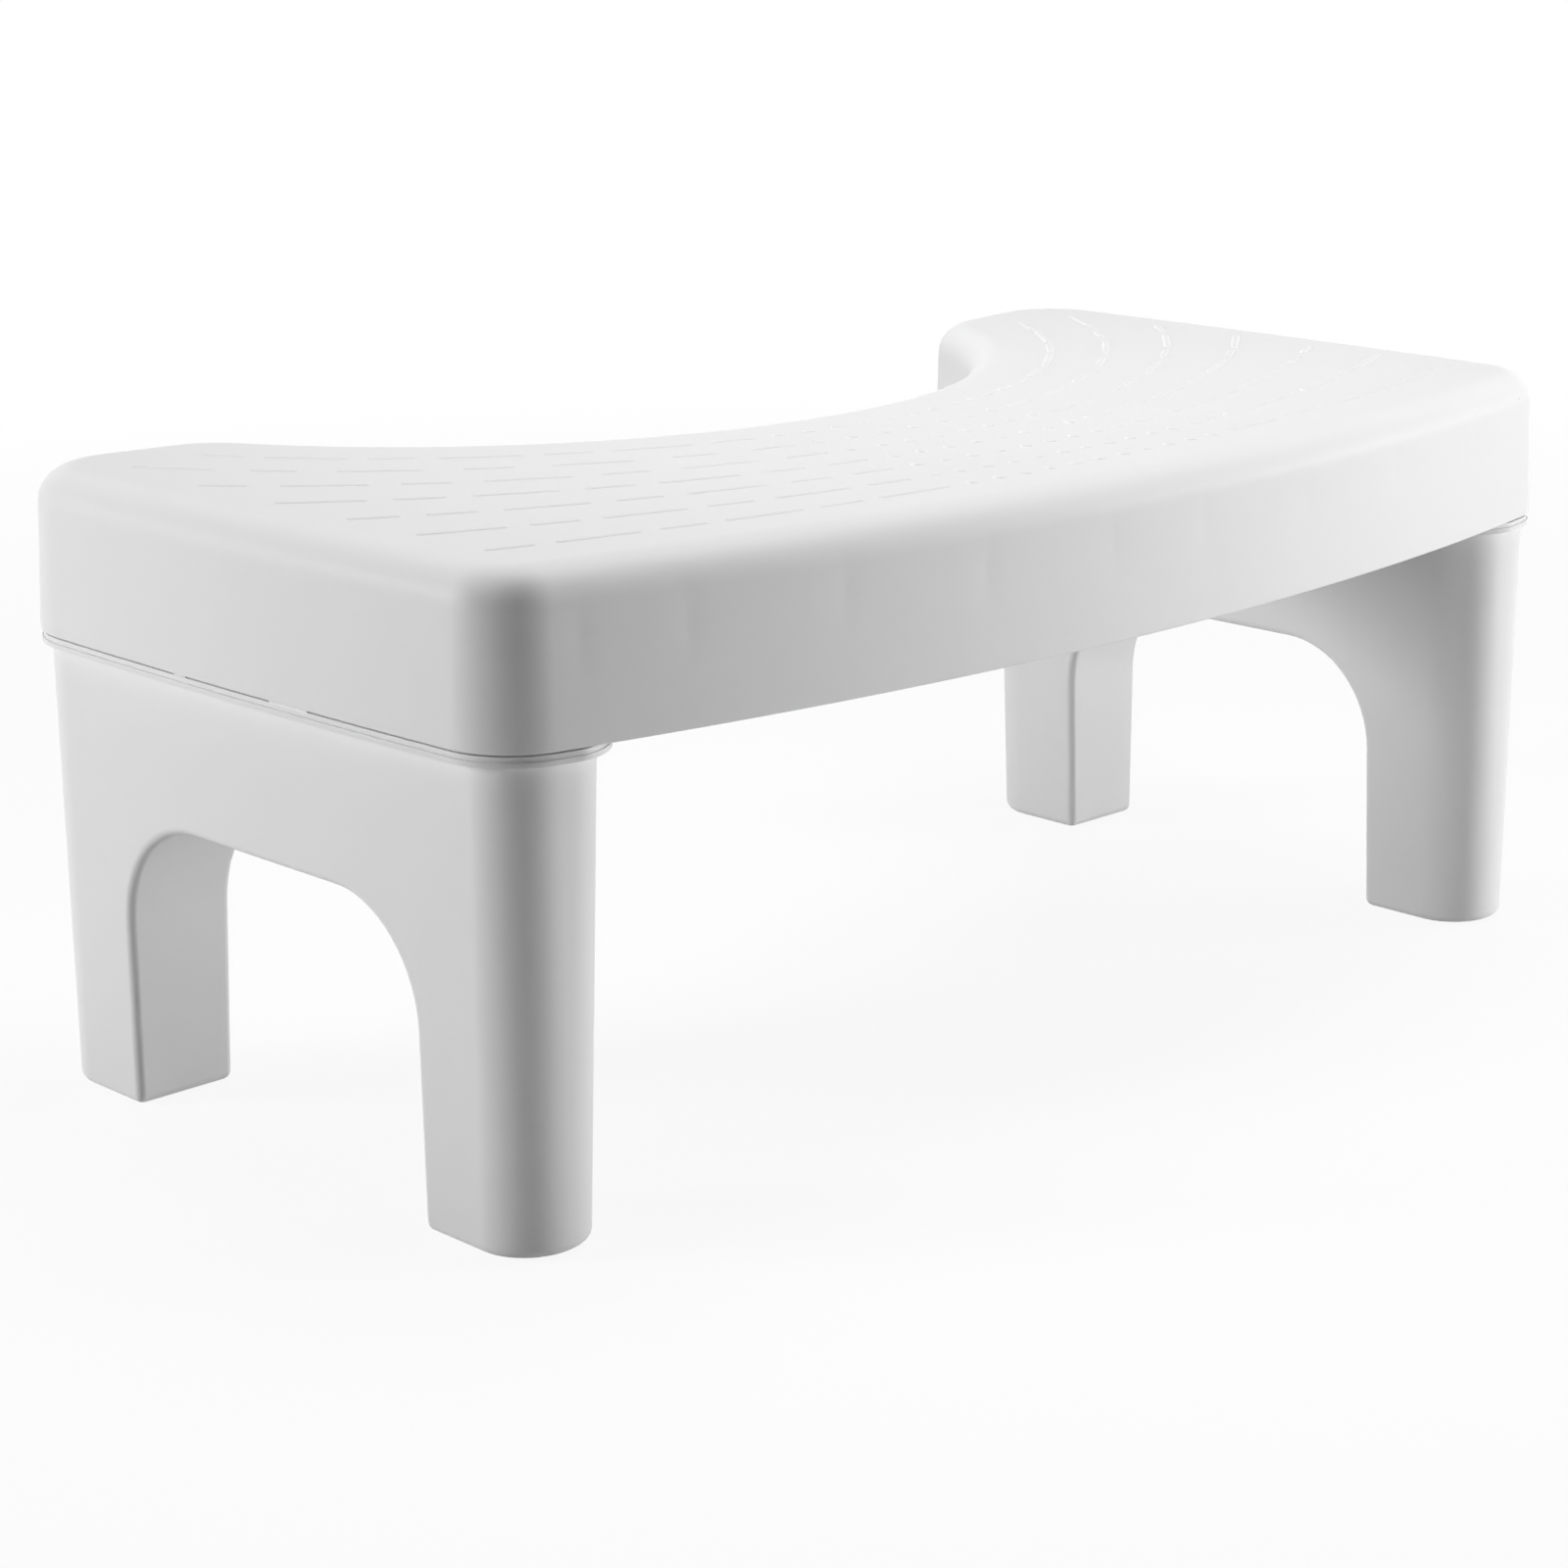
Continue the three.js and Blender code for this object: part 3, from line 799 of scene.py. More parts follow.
@dataclass
class TopShell:
    """The hollow platform with its skirt, ribs and grip marks."""

    plan: Plan
    height: float = 0.177
    skirt_depth: float = 0.045
    wall: float = 0.003
    edge_radius: float = 0.010
    rim_radius: float = 0.0005
    draft: float = math.radians(1.8)
    flat_ring: float = 0.001
    edge_steps: int = 12
    inner_steps: int = 6
    rim_steps: int = 3
    rib_thickness: float = 0.002
    rib_depth: float = 0.028
    socket_depth: float = 0.038
    rib_embed: float = 0.0005
    seat_from_end: float = 0.026
    rib_pitch: float = 0.047
    first_rib_from_end: float = 0.056
    lane_pitch: float = 0.036
    lane_from_front: float = 0.033
    overrun: float = 0.002

    @property
    def skirt_z(self) -> float:
        """The skirt's lower edge."""
        return self.height - self.skirt_depth

    @property
    def underside_z(self) -> float:
        """The underside of the standing face."""
        return self.height - self.wall

    @property
    def flare(self) -> float:
        """How far the skirt leans out for each metre down."""
        return math.tan(self.draft)

    def climb(self, face_z: float, radius: float, start_z: float, steps: int, up: int) -> None:
        """Raises the selected face up a leaning wall and over a quarter round.

        Args:
            face_z: The height that it ends at.
            radius: The radius of the round.
            start_z: The height that it starts at.
            steps: The facets across the round.
            up: 1 where the face looks up, and -1 where it looks down.
        """
        rise = face_z - radius - start_z
        inset(rise * self.flare, up * rise)
        for inward, upward in quarter_round(radius, steps):
            inset(inward, up * upward)
        inset(self.flat_ring, 0)

    def shell(self) -> bpy.types.Object:
        """Makes the platform without ribs and marks from its plan by insets, outside first.

        Returns:
            The hollow moulding.
        """
        piece = self.plan.draw("top_moulding", self.skirt_z)
        with editing(piece, Element.FACE):
            choose_all()
            self.climb(self.height, self.edge_radius, self.skirt_z, self.edge_steps, 1)
            close_holes()
            choose(piece, Element.FACE, lambda f: f.normal.z < -1 / 2)
            inset(self.wall, 0)
            self.climb(self.underside_z, self.edge_radius - self.wall, self.skirt_z, self.inner_steps, -1)
            rim = self.skirt_z + TINY
            bevel_sharp(piece, self.rim_radius, self.rim_steps, lambda e: all(v.co.z < rim for v in e.verts))
        return piece

    def cavity(self) -> bpy.types.Object:
        """Makes the space inside the skirt, grown a little into the walls.

        Returns:
            The space as a block that limits the ribs.
        """
        low = self.skirt_z - self.overrun
        piece = self.plan.draw("cavity", low)
        with editing(piece, Element.FACE):
            shrink_face(self.wall - self.rib_embed - self.overrun * self.flare)
            choose_all()
            radius = self.edge_radius - self.wall + self.rib_embed
            self.climb(self.underside_z + self.rib_embed, radius, low, self.inner_steps, 1)
            close_holes()
        return piece

    def rib_places(self) -> list[float]:
        """Works out where the ribs from front to rear stand.

        Returns:
            Their distances from the middle, the outermost first.
        """
        places = [self.plan.end_x - self.seat_from_end]
        x = self.plan.end_x - self.first_rib_from_end
        while x > self.rib_thickness / 2:
            places.append(x)
            x -= self.rib_pitch
        return places

    def ribs(self, socket_x: float, sockets: list[bpy.types.Object]) -> bpy.types.Object:
        """The rib grid under the standing face, with deeper ribs round the spigots.

        Args:
            socket_x: The distance from the middle to the rib beside a spigot.
            sockets: The spaces that stay free for the spigots.

        Returns:
            The ribs as one solid.
        """
        plan = self.plan
        half = self.rib_thickness / 2
        ceiling = self.underside_z + self.rib_embed
        seat, *others = self.rib_places()
        columns = []
        for side in Side:
            deep = [(side.value * x, self.socket_depth) for x in (socket_x, seat)]
            columns += deep + [(side.value * x, self.rib_depth) for x in others]
        grid = []
        for x, depth in columns:
            low = Vector((x - half, plan.front_y, self.underside_z - depth))
            grid.append(block("rib", low, Vector((x + half, plan.rear_y, ceiling))))
        y = plan.front_y + self.lane_from_front
        while y < plan.rear_y - plan.ear_slant:
            for x0, x1, depth in (
                (-plan.end_x, -socket_x, self.socket_depth),
                (-socket_x, socket_x, self.rib_depth),
                (socket_x, plan.end_x, self.socket_depth),
            ):
                low = Vector((x0, y - half, self.underside_z - depth))
                grid.append(block("rib", low, Vector((x1, y + half, ceiling))))
            y += self.lane_pitch
        ribs = grid[0]
        for other in grid[1:]:
            combine(ribs, other, Joining.UNION)
        combine(ribs, self.cavity(), Joining.OVERLAP)
        for socket in sockets:
            combine(ribs, socket, Joining.CUT)
        return ribs

    def build(self, socket_x: float, sockets: list[bpy.types.Object]) -> bpy.types.Object:
        """Makes the whole platform.

        Args:
            socket_x: The distance from the middle to the rib beside a spigot.
            sockets: The spaces that stay free for the spigots.

        Returns:
            The finished platform.
        """
        piece = self.shell()
        combine(piece, self.ribs(socket_x, sockets), Joining.UNION)
        combine(piece, GripPattern(self.plan, self.height).build(), Joining.UNION)
        smooth(piece)
        return piece


# The leg frames


@dataclass
class LegFrame:
    """A hollow arched leg frame with its collar and spigot. Sizes are those of the left one."""

    plan: Plan
    skirt_z: float
    side: Side
    seam: float = 0.0006
    end_inset: float = 0.0057
    rear_inset: float = 0.0105
    front_reach: float = 0.002
    thickness: float = 0.0365
    front_corner_radius: float = 0.016
    rear_corner_radius: float = 0.018
    wall: float = 0.0035
    draft: float = math.radians(1.06)
    splay: float = math.radians(0.45)
    edge_radius: float = 0.0025
    foot_z: float = 0.0005
    foot_floor: float = 0.0055
    front_leg: float = 0.0406
    rear_leg: float = 0.0421
    arch_height: float = 0.0845
    arch_radius: float = 0.032
    arch_draft: float = math.radians(0.5)
    arch_steps: int = 16
    edge_steps: int = 4
    web_thickness: float = 0.002
    web_spacing: float = 0.044
    web_drop: float = 0.012
    collar_overhang: float = 0.0038
    collar_setback: float = 0.0003
    upper_tier: float = 0.0013
    lower_tier: float = 0.0015
    ledge: float = 0.0005
    tier_edge: float = 0.00025
    tier_edge_steps: int = 2
    sliver: float = 0.0004
    spigot_height: float = 0.029
    spigot_inset: float = 0.0022
    spigot_wall: float = 0.002
    spigot_lead: float = 0.0012
    spigot_clearance: float = 0.0004
    lug_widths: tuple[float, float] = (0.016, 0.005)
    lug_places: tuple[float, float] = (-0.0227, 0.0248)
    lug_gap: float = 0.00005
    lug_setback: float = 0.0004
    skirt_wall: float = 0.003
    pad_width: float = 0.020
    pad_length: float = 0.024
    pad_corner: float = 0.006
    pad_inset: float = 0.0185
    pad_thickness: float = 0.003
    pad_clearance: float = 0.0003
    pad_edge: float = 0.0005
    pad_edge_steps: int = 3
    overlap: float = 0.001
    overrun: float = 0.002

    @property
    def collar_top(self) -> float:
        """The collar's upper face."""
        return self.skirt_z - self.seam

    @property
    def collar_z(self) -> float:
        """The collar's lower face."""
        return self.collar_top - self.upper_tier - self.lower_tier

    @property
    def spigot_top(self) -> float:
        """The spigot's upper end."""
        return self.collar_top + self.spigot_height

    @property
    def front_y(self) -> float:
        """The frame's front face under the collar."""
        return self.plan.corner_y - self.front_reach

    @property
    def rear_y(self) -> float:
        """The frame's rear face under the collar."""
        return self.plan.rear_y - self.rear_inset

    @property
    def outer_x(self) -> float:
        """The distance from the middle of the stool to the frame's outer face."""
        return self.plan.end_x - self.end_inset

    @property
    def socket_x(self) -> float:
        """The distance from the middle of the stool to the near wall of the spigot's socket."""
        return self.outer_x - self.thickness + self.spigot_inset - self.spigot_clearance

    @property
    def arch_y(self) -> float:
        """The middle of the arch."""
        return (self.front_y + self.front_leg + self.rear_y - self.rear_leg) / 2

    @property
    def half_arch(self) -> float:
        """Half the arch's width at the floor."""
        return (self.rear_y - self.rear_leg - self.front_y - self.front_leg) / 2

    def middle_x(self, z: float) -> float:
        """The middle of the frame's thickness at a height."""
        lean = (self.collar_z - z) * math.tan(self.splay)
        return self.side.value * (self.outer_x - self.thickness / 2 + lean)

    def section(self, z: float) -> Plate:
        """Works out the frame's outline at a height.

        Args:
            z: The height.

        Returns:
            The outline, narrower the lower it is.
        """
        taper = 2 * (self.collar_z - z) * math.tan(self.draft)
        return Plate(
            self.middle_x(z),
            (self.front_y + self.rear_y) / 2,
            self.thickness - taper,
            self.rear_y - self.front_y - taper,
            self.front_corner_radius,
            self.rear_corner_radius,
        )

    def arch(self, name: str, margin: float, low: float) -> bpy.types.Object:
        """The arch's opening as a block that runs through the frame.

        Args:
            name: The name of the piece.
            margin: How far it is grown.
            low: The height that it starts at.

        Returns:
            The block.
        """
        lean = math.tan(self.arch_draft)
        x = self.middle_x(0) - self.thickness
        springing = self.arch_height - self.arch_radius

        def at(across: float, height: float) -> Vector:
            """A point on the near face, from the arch's middle and the foot."""
            return Vector((x, self.arch_y + across, self.foot_z + height))

        foot = at(self.half_arch + margin, 0)
        foot.z = low
        pen = Pen(name, foot, Vector((1, 0, 0)))
        pen.line(at(self.half_arch + margin - springing * lean, springing))
        centre = at(self.half_arch - springing * lean - self.arch_radius, springing)
        pen.arc(centre, QUARTER_TURN, self.arch_steps)
        piece = pen.mirror_and_fill(Vector((1, -1, 1)), at(0, 0))
        return raised(piece, Vector((2 * self.thickness, 0, 0)))

    def legs(self) -> bpy.types.Object:
        """Makes the two legs under the arch, with every edge of the arch and the feet rounded.

        Returns:
            The legs, solid and without the collar.
        """
        top = self.collar_z + self.overlap
        lower = self.section(self.foot_z).draw("legs", self.foot_z)
        piece = bridged(lower, self.section(top).draw("legs_top", top), "legs")
        combine(piece, self.arch("arch", 0, self.foot_z - self.overrun), Joining.CUT, "EXACT")
        limit = self.collar_z
        with editing(piece, Element.EDGE):
            bevel_sharp(
                piece, self.edge_radius, self.edge_steps, lambda e: all(v.co.z < limit for v in e.verts)
            )
        return piece

    def tier(self, name: str, ledge: float, low: float, high: float) -> bpy.types.Object:
        """One tier of the collar, kept flush with the skirt.

        Args:
            name: The name of the piece.
            ledge: How far it stands back.
            low: The height of its lower face.
            high: The height of its upper face.

        Returns:
            The tier.
        """
        section = self.section(self.collar_z)
        inner = self.outer_x - self.thickness - self.collar_overhang
        outer = self.plan.end_x + self.overrun
        grown = Plate(
            self.side.value * (inner + outer) / 2,
            section.y,
            outer - inner,
            section.depth + 2 * self.collar_overhang,
            self.front_corner_radius + self.collar_overhang,
            self.rear_corner_radius + self.collar_overhang,
        )
        piece = grown.inset(ledge).prism(name, low, high)
        margin = ledge + self.collar_setback
        limits = self.plan.prism("limits", margin, low - self.overrun, high + self.overrun)
        combine(piece, limits, Joining.OVERLAP, "EXACT")
        with editing(piece):
            choose_all()
            bpy.ops.mesh.remove_doubles(threshold=self.sliver)
            bevel_sharp(piece, self.tier_edge, self.tier_edge_steps, is_level)
        return piece

    def spigot(self) -> bpy.types.Object:
        """Makes the plug above the collar, with a lead round its top.

        Returns:
            The plug, still solid.
        """
        plate = self.section(self.collar_z).inset(self.spigot_inset)
        base = self.collar_z + self.overlap
        piece = plate.prism("spigot", base, self.spigot_top - self.spigot_lead)
        with editing(piece, Element.FACE):
            choose_top(piece)
            inset(self.spigot_lead / 2, self.spigot_lead)
        return piece

    def socket(self) -> bpy.types.Object:
        """The space that the spigot needs in the platform's ribs."""
        plate = self.section(self.collar_z).inset(self.spigot_inset - self.spigot_clearance)
        return plate.prism("socket", self.skirt_z - self.overrun, self.spigot_top + self.spigot_clearance)

    def hollow(self) -> bpy.types.Object:
        """Makes the space inside the frame, open at the top of the spigot.

        Returns:
            The space as a block to cut with.
        """
        floor = self.foot_z + self.foot_floor
        neck = self.spigot_inset + self.spigot_wall
        lower = self.section(floor).inset(self.wall).draw("hollow", floor)
        upper = self.section(self.collar_z).inset(self.wall).draw("hollow_top", self.collar_z)
        piece = bridged(lower, upper, "hollow")
        with editing(piece, Element.FACE):
            choose_top(piece)
            inset(neck - self.wall, self.collar_top - self.collar_z)
            inset(TINY, self.spigot_top + self.overrun - self.collar_top)
        combine(piece, self.arch("arch_wall", self.wall, floor - self.overrun), Joining.CUT, "EXACT")
        middle = self.middle_x(self.collar_z)
        half = self.web_thickness / 2
        for place in (-1, 0, 1):
            y = self.arch_y + place * self.web_spacing
            web = block(
                "web",
                Vector((middle - self.thickness, y - half, self.foot_z)),
                Vector((middle + self.thickness, y + half, self.collar_z - self.web_drop)),
            )
            combine(piece, web, Joining.CUT)
        return piece

    def lug(self, place: float, width: float) -> bpy.types.Object:
        """A lug that closes the seam where the frame latches.

        Args:
            place: Its distance from the middle of the frame.
            width: Its width along Y.

        Returns:
            The lug.
        """
        inner = self.plan.end_x - self.skirt_wall
        outer = self.plan.end_x - self.collar_setback - self.ledge - self.lug_setback
        near, far = sorted((self.side.value * inner, self.side.value * outer))
        y = (self.front_y + self.rear_y) / 2 + place
        low = Vector((near, y - width / 2, self.collar_top - self.upper_tier / 2))
        high = Vector((far, y + width / 2, self.skirt_z - self.lug_gap))
        return block("lug", low, high)

    def pad_plate(self, rear: bool) -> Plate:
        """Works out the outline of a foot pad.

        Args:
            rear: Whether it is under the rear foot.

        Returns:
            The outline.
        """
        section = self.section(self.foot_z)
        toward = 1 if rear else -1
        y = section.y + toward * (section.depth / 2 - self.pad_inset)
        return Plate(section.x, y, self.pad_width, self.pad_length, self.pad_corner, self.pad_corner)

    def build(self, name: str) -> bpy.types.Object:
        """Makes the whole frame.

        Args:
            name: The name of the piece.

        Returns:
            The finished frame.
        """
        piece = self.legs()
        step = self.collar_z + self.lower_tier
        combine(piece, self.tier("lower_tier", 0, self.collar_z, step), Joining.UNION)
        combine(piece, self.tier("upper_tier", self.ledge, step - self.ledge, self.collar_top), Joining.UNION)
        combine(piece, self.spigot(), Joining.UNION)
        combine(piece, self.hollow(), Joining.CUT)
        for place, width in zip(self.lug_places, self.lug_widths):
            combine(piece, self.lug(place, width), Joining.UNION)
        for rear in (False, True):
            pocket = self.pad_plate(rear).inset(-self.pad_clearance)
            roof = self.pad_thickness + self.pad_clearance
            combine(piece, pocket.prism("pocket", self.foot_z - self.overrun, roof), Joining.CUT)
        piece.name = name
        smooth(piece)
        return piece

    def pad(self, name: str, rear: bool) -> bpy.types.Object:
        """Makes one rubber foot pad, with its upper and lower edges rounded.

        Args:
            name: The name of the piece.
            rear: Whether it is the rear one.

        Returns:
            The finished pad.
        """
        piece = self.pad_plate(rear).prism(name, 0, self.pad_thickness)
        with editing(piece, Element.EDGE):
            bevel_sharp(piece, self.pad_edge, self.pad_edge_steps, is_level)
        smooth(piece)
        return piece


# Finishes


class Value:
    """A shader socket that Python's arithmetic works on. Each step adds a Math node."""

    def __init__(self, shader: "Shader", socket: bpy.types.NodeSocket) -> None:
        """Wraps a socket of a shader."""
        self.shader = shader
        self.socket = socket

    def step(self, operation: str, *inputs: "Value | float") -> "Value":
        """Adds a Math node with this operation."""
        node = self.shader.add("ShaderNodeMath", {"operation": operation}, dict(enumerate(inputs)))
        return Value(self.shader, node.outputs[0])

    def __add__(self, other: "Value | float") -> "Value":
        """The sum."""
        return self.step("ADD", self, other)

    __radd__ = __add__

    def __mul__(self, other: "Value | float") -> "Value":
        """The product."""
        return self.step("MULTIPLY", self, other)

    __rmul__ = __mul__

    def __sub__(self, other: "Value | float") -> "Value":
        """The difference."""
        return self.step("SUBTRACT", self, other)

    def __rsub__(self, other: "Value | float") -> "Value":
        """The difference from a number."""
        return self.step("SUBTRACT", other, self)

    def __rtruediv__(self, other: float) -> "Value":
        """A number divided by this."""
        return self.step("DIVIDE", other, self)

    def below(self, limit: "Value | float") -> "Value":
        """1 where this is under a limit, and 0 elsewhere."""
        return self.step("LESS_THAN", self, limit)

    def at_most(self, limit: "Value | float") -> "Value":
        """This where it is under a limit, and the limit elsewhere."""
        return self.step("MINIMUM", self, limit)

    def clamped(self) -> "Value":
        """This kept between 0 and 1."""
        return self.step("MAXIMUM", self, 0.0).at_most(1.0)


class Shader:
    """The nodes of a material or a world, added through one method."""

    def __init__(self, owner: bpy.types.Material | bpy.types.World) -> None:
        """Takes over the owner's nodes and clears them.

        Args:
            owner: The material or world that the nodes are for.
        """
        owner.use_nodes = True
        self.owner = owner
        self.tree = owner.node_tree
        self.tree.nodes.clear()

    def add(self, kind: str, settings: dict | None = None, inputs: dict | None = None) -> bpy.types.Node:
        """Adds a node.

        Args:
            kind: The node's type.
            settings: Its properties, set before its sockets.
            inputs: A value or a link for each socket, by name or number.

        Returns:
            The node.
        """
        node = self.tree.nodes.new(kind)
        for key, value in (settings or {}).items():
            setattr(node, key, value)
        for key, value in (inputs or {}).items():
            if isinstance(value, Value):
                value = value.socket
            if isinstance(value, bpy.types.NodeSocket):
                self.tree.links.new(value, node.inputs[key])
            else:
                node.inputs[key].default_value = value
        return node

    def noise(self, place: bpy.types.NodeSocket, size: float, detail: float) -> Value:
        """Cloudy noise with features of about the given size in metres."""
        node = self.add("ShaderNodeTexNoise", {}, {"Vector": place, "Scale": 1 / size, "Detail": detail})
        return Value(self, node.outputs["Fac"])

    def bump(
        self, height: Value, distance: float, under: bpy.types.NodeSocket | None = None
    ) -> bpy.types.NodeSocket:
        """Adds a surface relief.

        Args:
            height: Its height, from 0 to 1.
            distance: What a height of 1 is in metres.
            under: The normal of a relief that this one lies on.

        Returns:
            The normal.
        """
        inputs = {"Height": height, "Distance": distance, "Strength": 1.0}
        if under is not None:
            inputs["Normal"] = under
        return self.add("ShaderNodeBump", {}, inputs).outputs["Normal"]

    def mixed(
        self, share: Value, low: tuple | bpy.types.NodeSocket, high: tuple | bpy.types.NodeSocket
    ) -> bpy.types.NodeSocket:
        """Mixes two colours. A Mix node has them in its sockets 6 and 7 and gives the result in 2.

        Args:
            share: The second colour's share, from 0 to 1.
            low: The first colour, as numbers or a link.
            high: The second one.

        Returns:
            The mixed colour.
        """
        node = self.add("ShaderNodeMix", {"data_type": "RGBA"}, {0: share, 6: low, 7: high})
        return node.outputs[2]

    def white_rays(self) -> Value:
        """Tells the rays that see a thing from those that light bounces along.

        Returns:
            1 for the rays of the camera, of reflections and of clear things, and 0 for the others.
        """
        rays = self.add("ShaderNodeLightPath").outputs
        kinds = ("Is Camera Ray", "Is Glossy Ray", "Is Transmission Ray")
        camera, glossy, clear = (Value(self, rays[kind]) for kind in kinds)
        return camera + glossy + clear

    def finish(self, surface: bpy.types.NodeSocket) -> bpy.types.Material | bpy.types.World:
        """Links the surface to the output of the material or world."""
        self.add(f"ShaderNodeOutput{self.owner.bl_rna.identifier}", {}, {"Surface": surface})
        return self.owner


@dataclass(frozen=True)
class MouldedPlastic:
    """White satin polypropylene as it comes out of a fine-grained mould."""

    colour: tuple[float, float, float, float] = (0.86, 0.86, 0.86, 1.0)
    shade: tuple[float, float, float, float] = (0.84, 0.84, 0.84, 1.0)
    speck: tuple[float, float, float, float] = (0.45, 0.44, 0.42, 1.0)
    roughness: float = 0.55
    roughness_spread: float = 0.08
    grain_size: float = 0.0006
    grain_detail: float = 3.0
    grain_height: float = 0.00001
    flow_size: float = 0.05
    flow_detail: float = 2.0
    flow_height: float = 0.00012
    speck_spacing: float = 0.016
    speck_radius: float = 0.00028
    speck_share: float = 0.25
    sink_places: tuple[float, ...] = ()
    sink_width: float = 0.006
    sink_depth: float = 0.00022
    sink_low: float = 0.146
    sink_high: float = 0.172
    sink_fade: float = 0.016

    def sinks(self, shader: Shader, place: bpy.types.NodeSocket) -> Value:
        """The shallow grooves that shrinkage leaves on the skirt where the ribs meet it inside.

        Args:
            shader: The shader that the nodes go into.
            place: The object coordinates.

        Returns:
            A height from 0 in the grooves to 1 between them.
        """
        parts = shader.add("ShaderNodeSeparateXYZ", {}, {"Vector": place}).outputs
        x, z = Value(shader, parts["X"]), Value(shader, parts["Z"])
        depths = []
        for rib in self.sink_places:
            away = (x - rib) * (2 / self.sink_width)
            depths.append(1.0 / (away * away + 1))
        first, *others = depths
        rise = (z - self.sink_low) * (1 / self.sink_fade)
        fall = (self.sink_high - z) * (1 / self.sink_fade)
        return 1 - sum(others, first) * rise.at_most(fall).clamped()

    def make(self, name: str) -> bpy.types.Material:
        """Makes the material.

        Args:
            name: Its name.

        Returns:
            The material.
        """
        shader = Shader(bpy.data.materials.new(name))
        place = shader.add("ShaderNodeTexCoord").outputs["Object"]
        flow = shader.noise(place, self.flow_size, self.flow_detail)
        grain = shader.noise(place, self.grain_size, self.grain_detail)
        cells = shader.add("ShaderNodeTexVoronoi", {}, {"Vector": place, "Scale": 1 / self.speck_spacing})
        pick = shader.add("ShaderNodeSeparateColor", {}, {"Color": cells.outputs["Color"]})
        chosen = Value(shader, pick.outputs["Red"]).below(self.speck_share)
        size = Value(shader, pick.outputs["Green"]) * (self.speck_radius / self.speck_spacing)
        specks = Value(shader, cells.outputs["Distance"]).below(size) * chosen
        relief = shader.bump(flow, self.flow_height)
        relief = shader.bump(grain, self.grain_height, relief)
        if self.sink_places:
            relief = shader.bump(self.sinks(shader, place), self.sink_depth, relief)
        surface = shader.add(
            "ShaderNodeBsdfPrincipled",
            {},
            {
                "Base Color": shader.mixed(specks, shader.mixed(flow, self.shade, self.colour), self.speck),
                "Roughness": grain * self.roughness_spread + (self.roughness - self.roughness_spread / 2),
                "Normal": relief,
            },
        )
        return shader.finish(surface.outputs[0])


@dataclass(frozen=True)
class SoftRubber:
    """Pale matt rubber of the foot pads."""

    colour: tuple[float, float, float, float] = (0.60, 0.60, 0.58, 1.0)
    shade: tuple[float, float, float, float] = (0.50, 0.50, 0.48, 1.0)
    roughness: float = 0.8
    roughness_spread: float = 0.2
    grain_size: float = 0.0012
    grain_detail: float = 4.0
    grain_height: float = 0.00006

    def make(self, name: str) -> bpy.types.Material:
        """Makes the material.

        Args:
            name: Its name.

        Returns:
            The material.
        """
        shader = Shader(bpy.data.materials.new(name))
        place = shader.add("ShaderNodeTexCoord").outputs["Object"]
        grain = shader.noise(place, self.grain_size, self.grain_detail)
        surface = shader.add(
            "ShaderNodeBsdfPrincipled",
            {},
            {
                "Base Color": shader.mixed(grain, self.shade, self.colour),
                "Roughness": grain * self.roughness_spread + (self.roughness - self.roughness_spread / 2),
                "Normal": shader.bump(grain, self.grain_height),
            },
        )
        return shader.finish(surface.outputs[0])


# The studio


@dataclass(frozen=True)
class Camera:
    """The photograph's viewpoint. The shift is for a frame as wide as it is high."""

    place: Vector = field(default_factory=lambda: Vector((-0.7576, -0.76729, 0.366)))
    target: Vector = field(default_factory=lambda: Vector((-0.00071, 0.0164, 0.11134)))
    roll: float = math.radians(-0.47)
    lens: float = 86.005
    shift_x: float = -0.01875
    shift_y: float = -0.1

    def build(self) -> None:
        """Makes the camera and looks through it."""
        data = bpy.data.cameras.new("view")
        data.lens = self.lens
        data.shift_x = self.shift_x
        data.shift_y = self.shift_y
        camera = bpy.data.objects.new("view", data)
        bpy.context.scene.collection.objects.link(camera)
        back = (self.place - self.target).normalized()
        right = Vector((0, 0, 1)).cross(back).normalized()
        up = back.cross(right)
        level = Matrix((right, up, back)).transposed().to_4x4()
        turn = level @ Matrix.Rotation(self.roll, 4, "Z")
        camera.matrix_world = Matrix.Translation(self.place) @ turn
        bpy.context.scene.camera = camera


@dataclass(frozen=True)
class Softbox:
    """A square lamp that faces the stool."""

    name: str
    place: tuple[float, float, float]
    size: float
    power: float
    target: tuple[float, float, float] = (0.0, 0.0, 0.1)

    def build(self) -> None:
        """Makes the lamp and turns it to the middle of the stool."""
        data = bpy.data.lights.new(self.name, "AREA")
        data.shape = "SQUARE"
        data.size = self.size
        data.energy = self.power
        lamp = bpy.data.objects.new(self.name, data)
        bpy.context.scene.collection.objects.link(lamp)
        turn = (Vector(self.place) - Vector(self.target)).to_track_quat("Z", "Y")
        lamp.matrix_world = Matrix.Translation(self.place) @ turn.to_matrix().to_4x4()


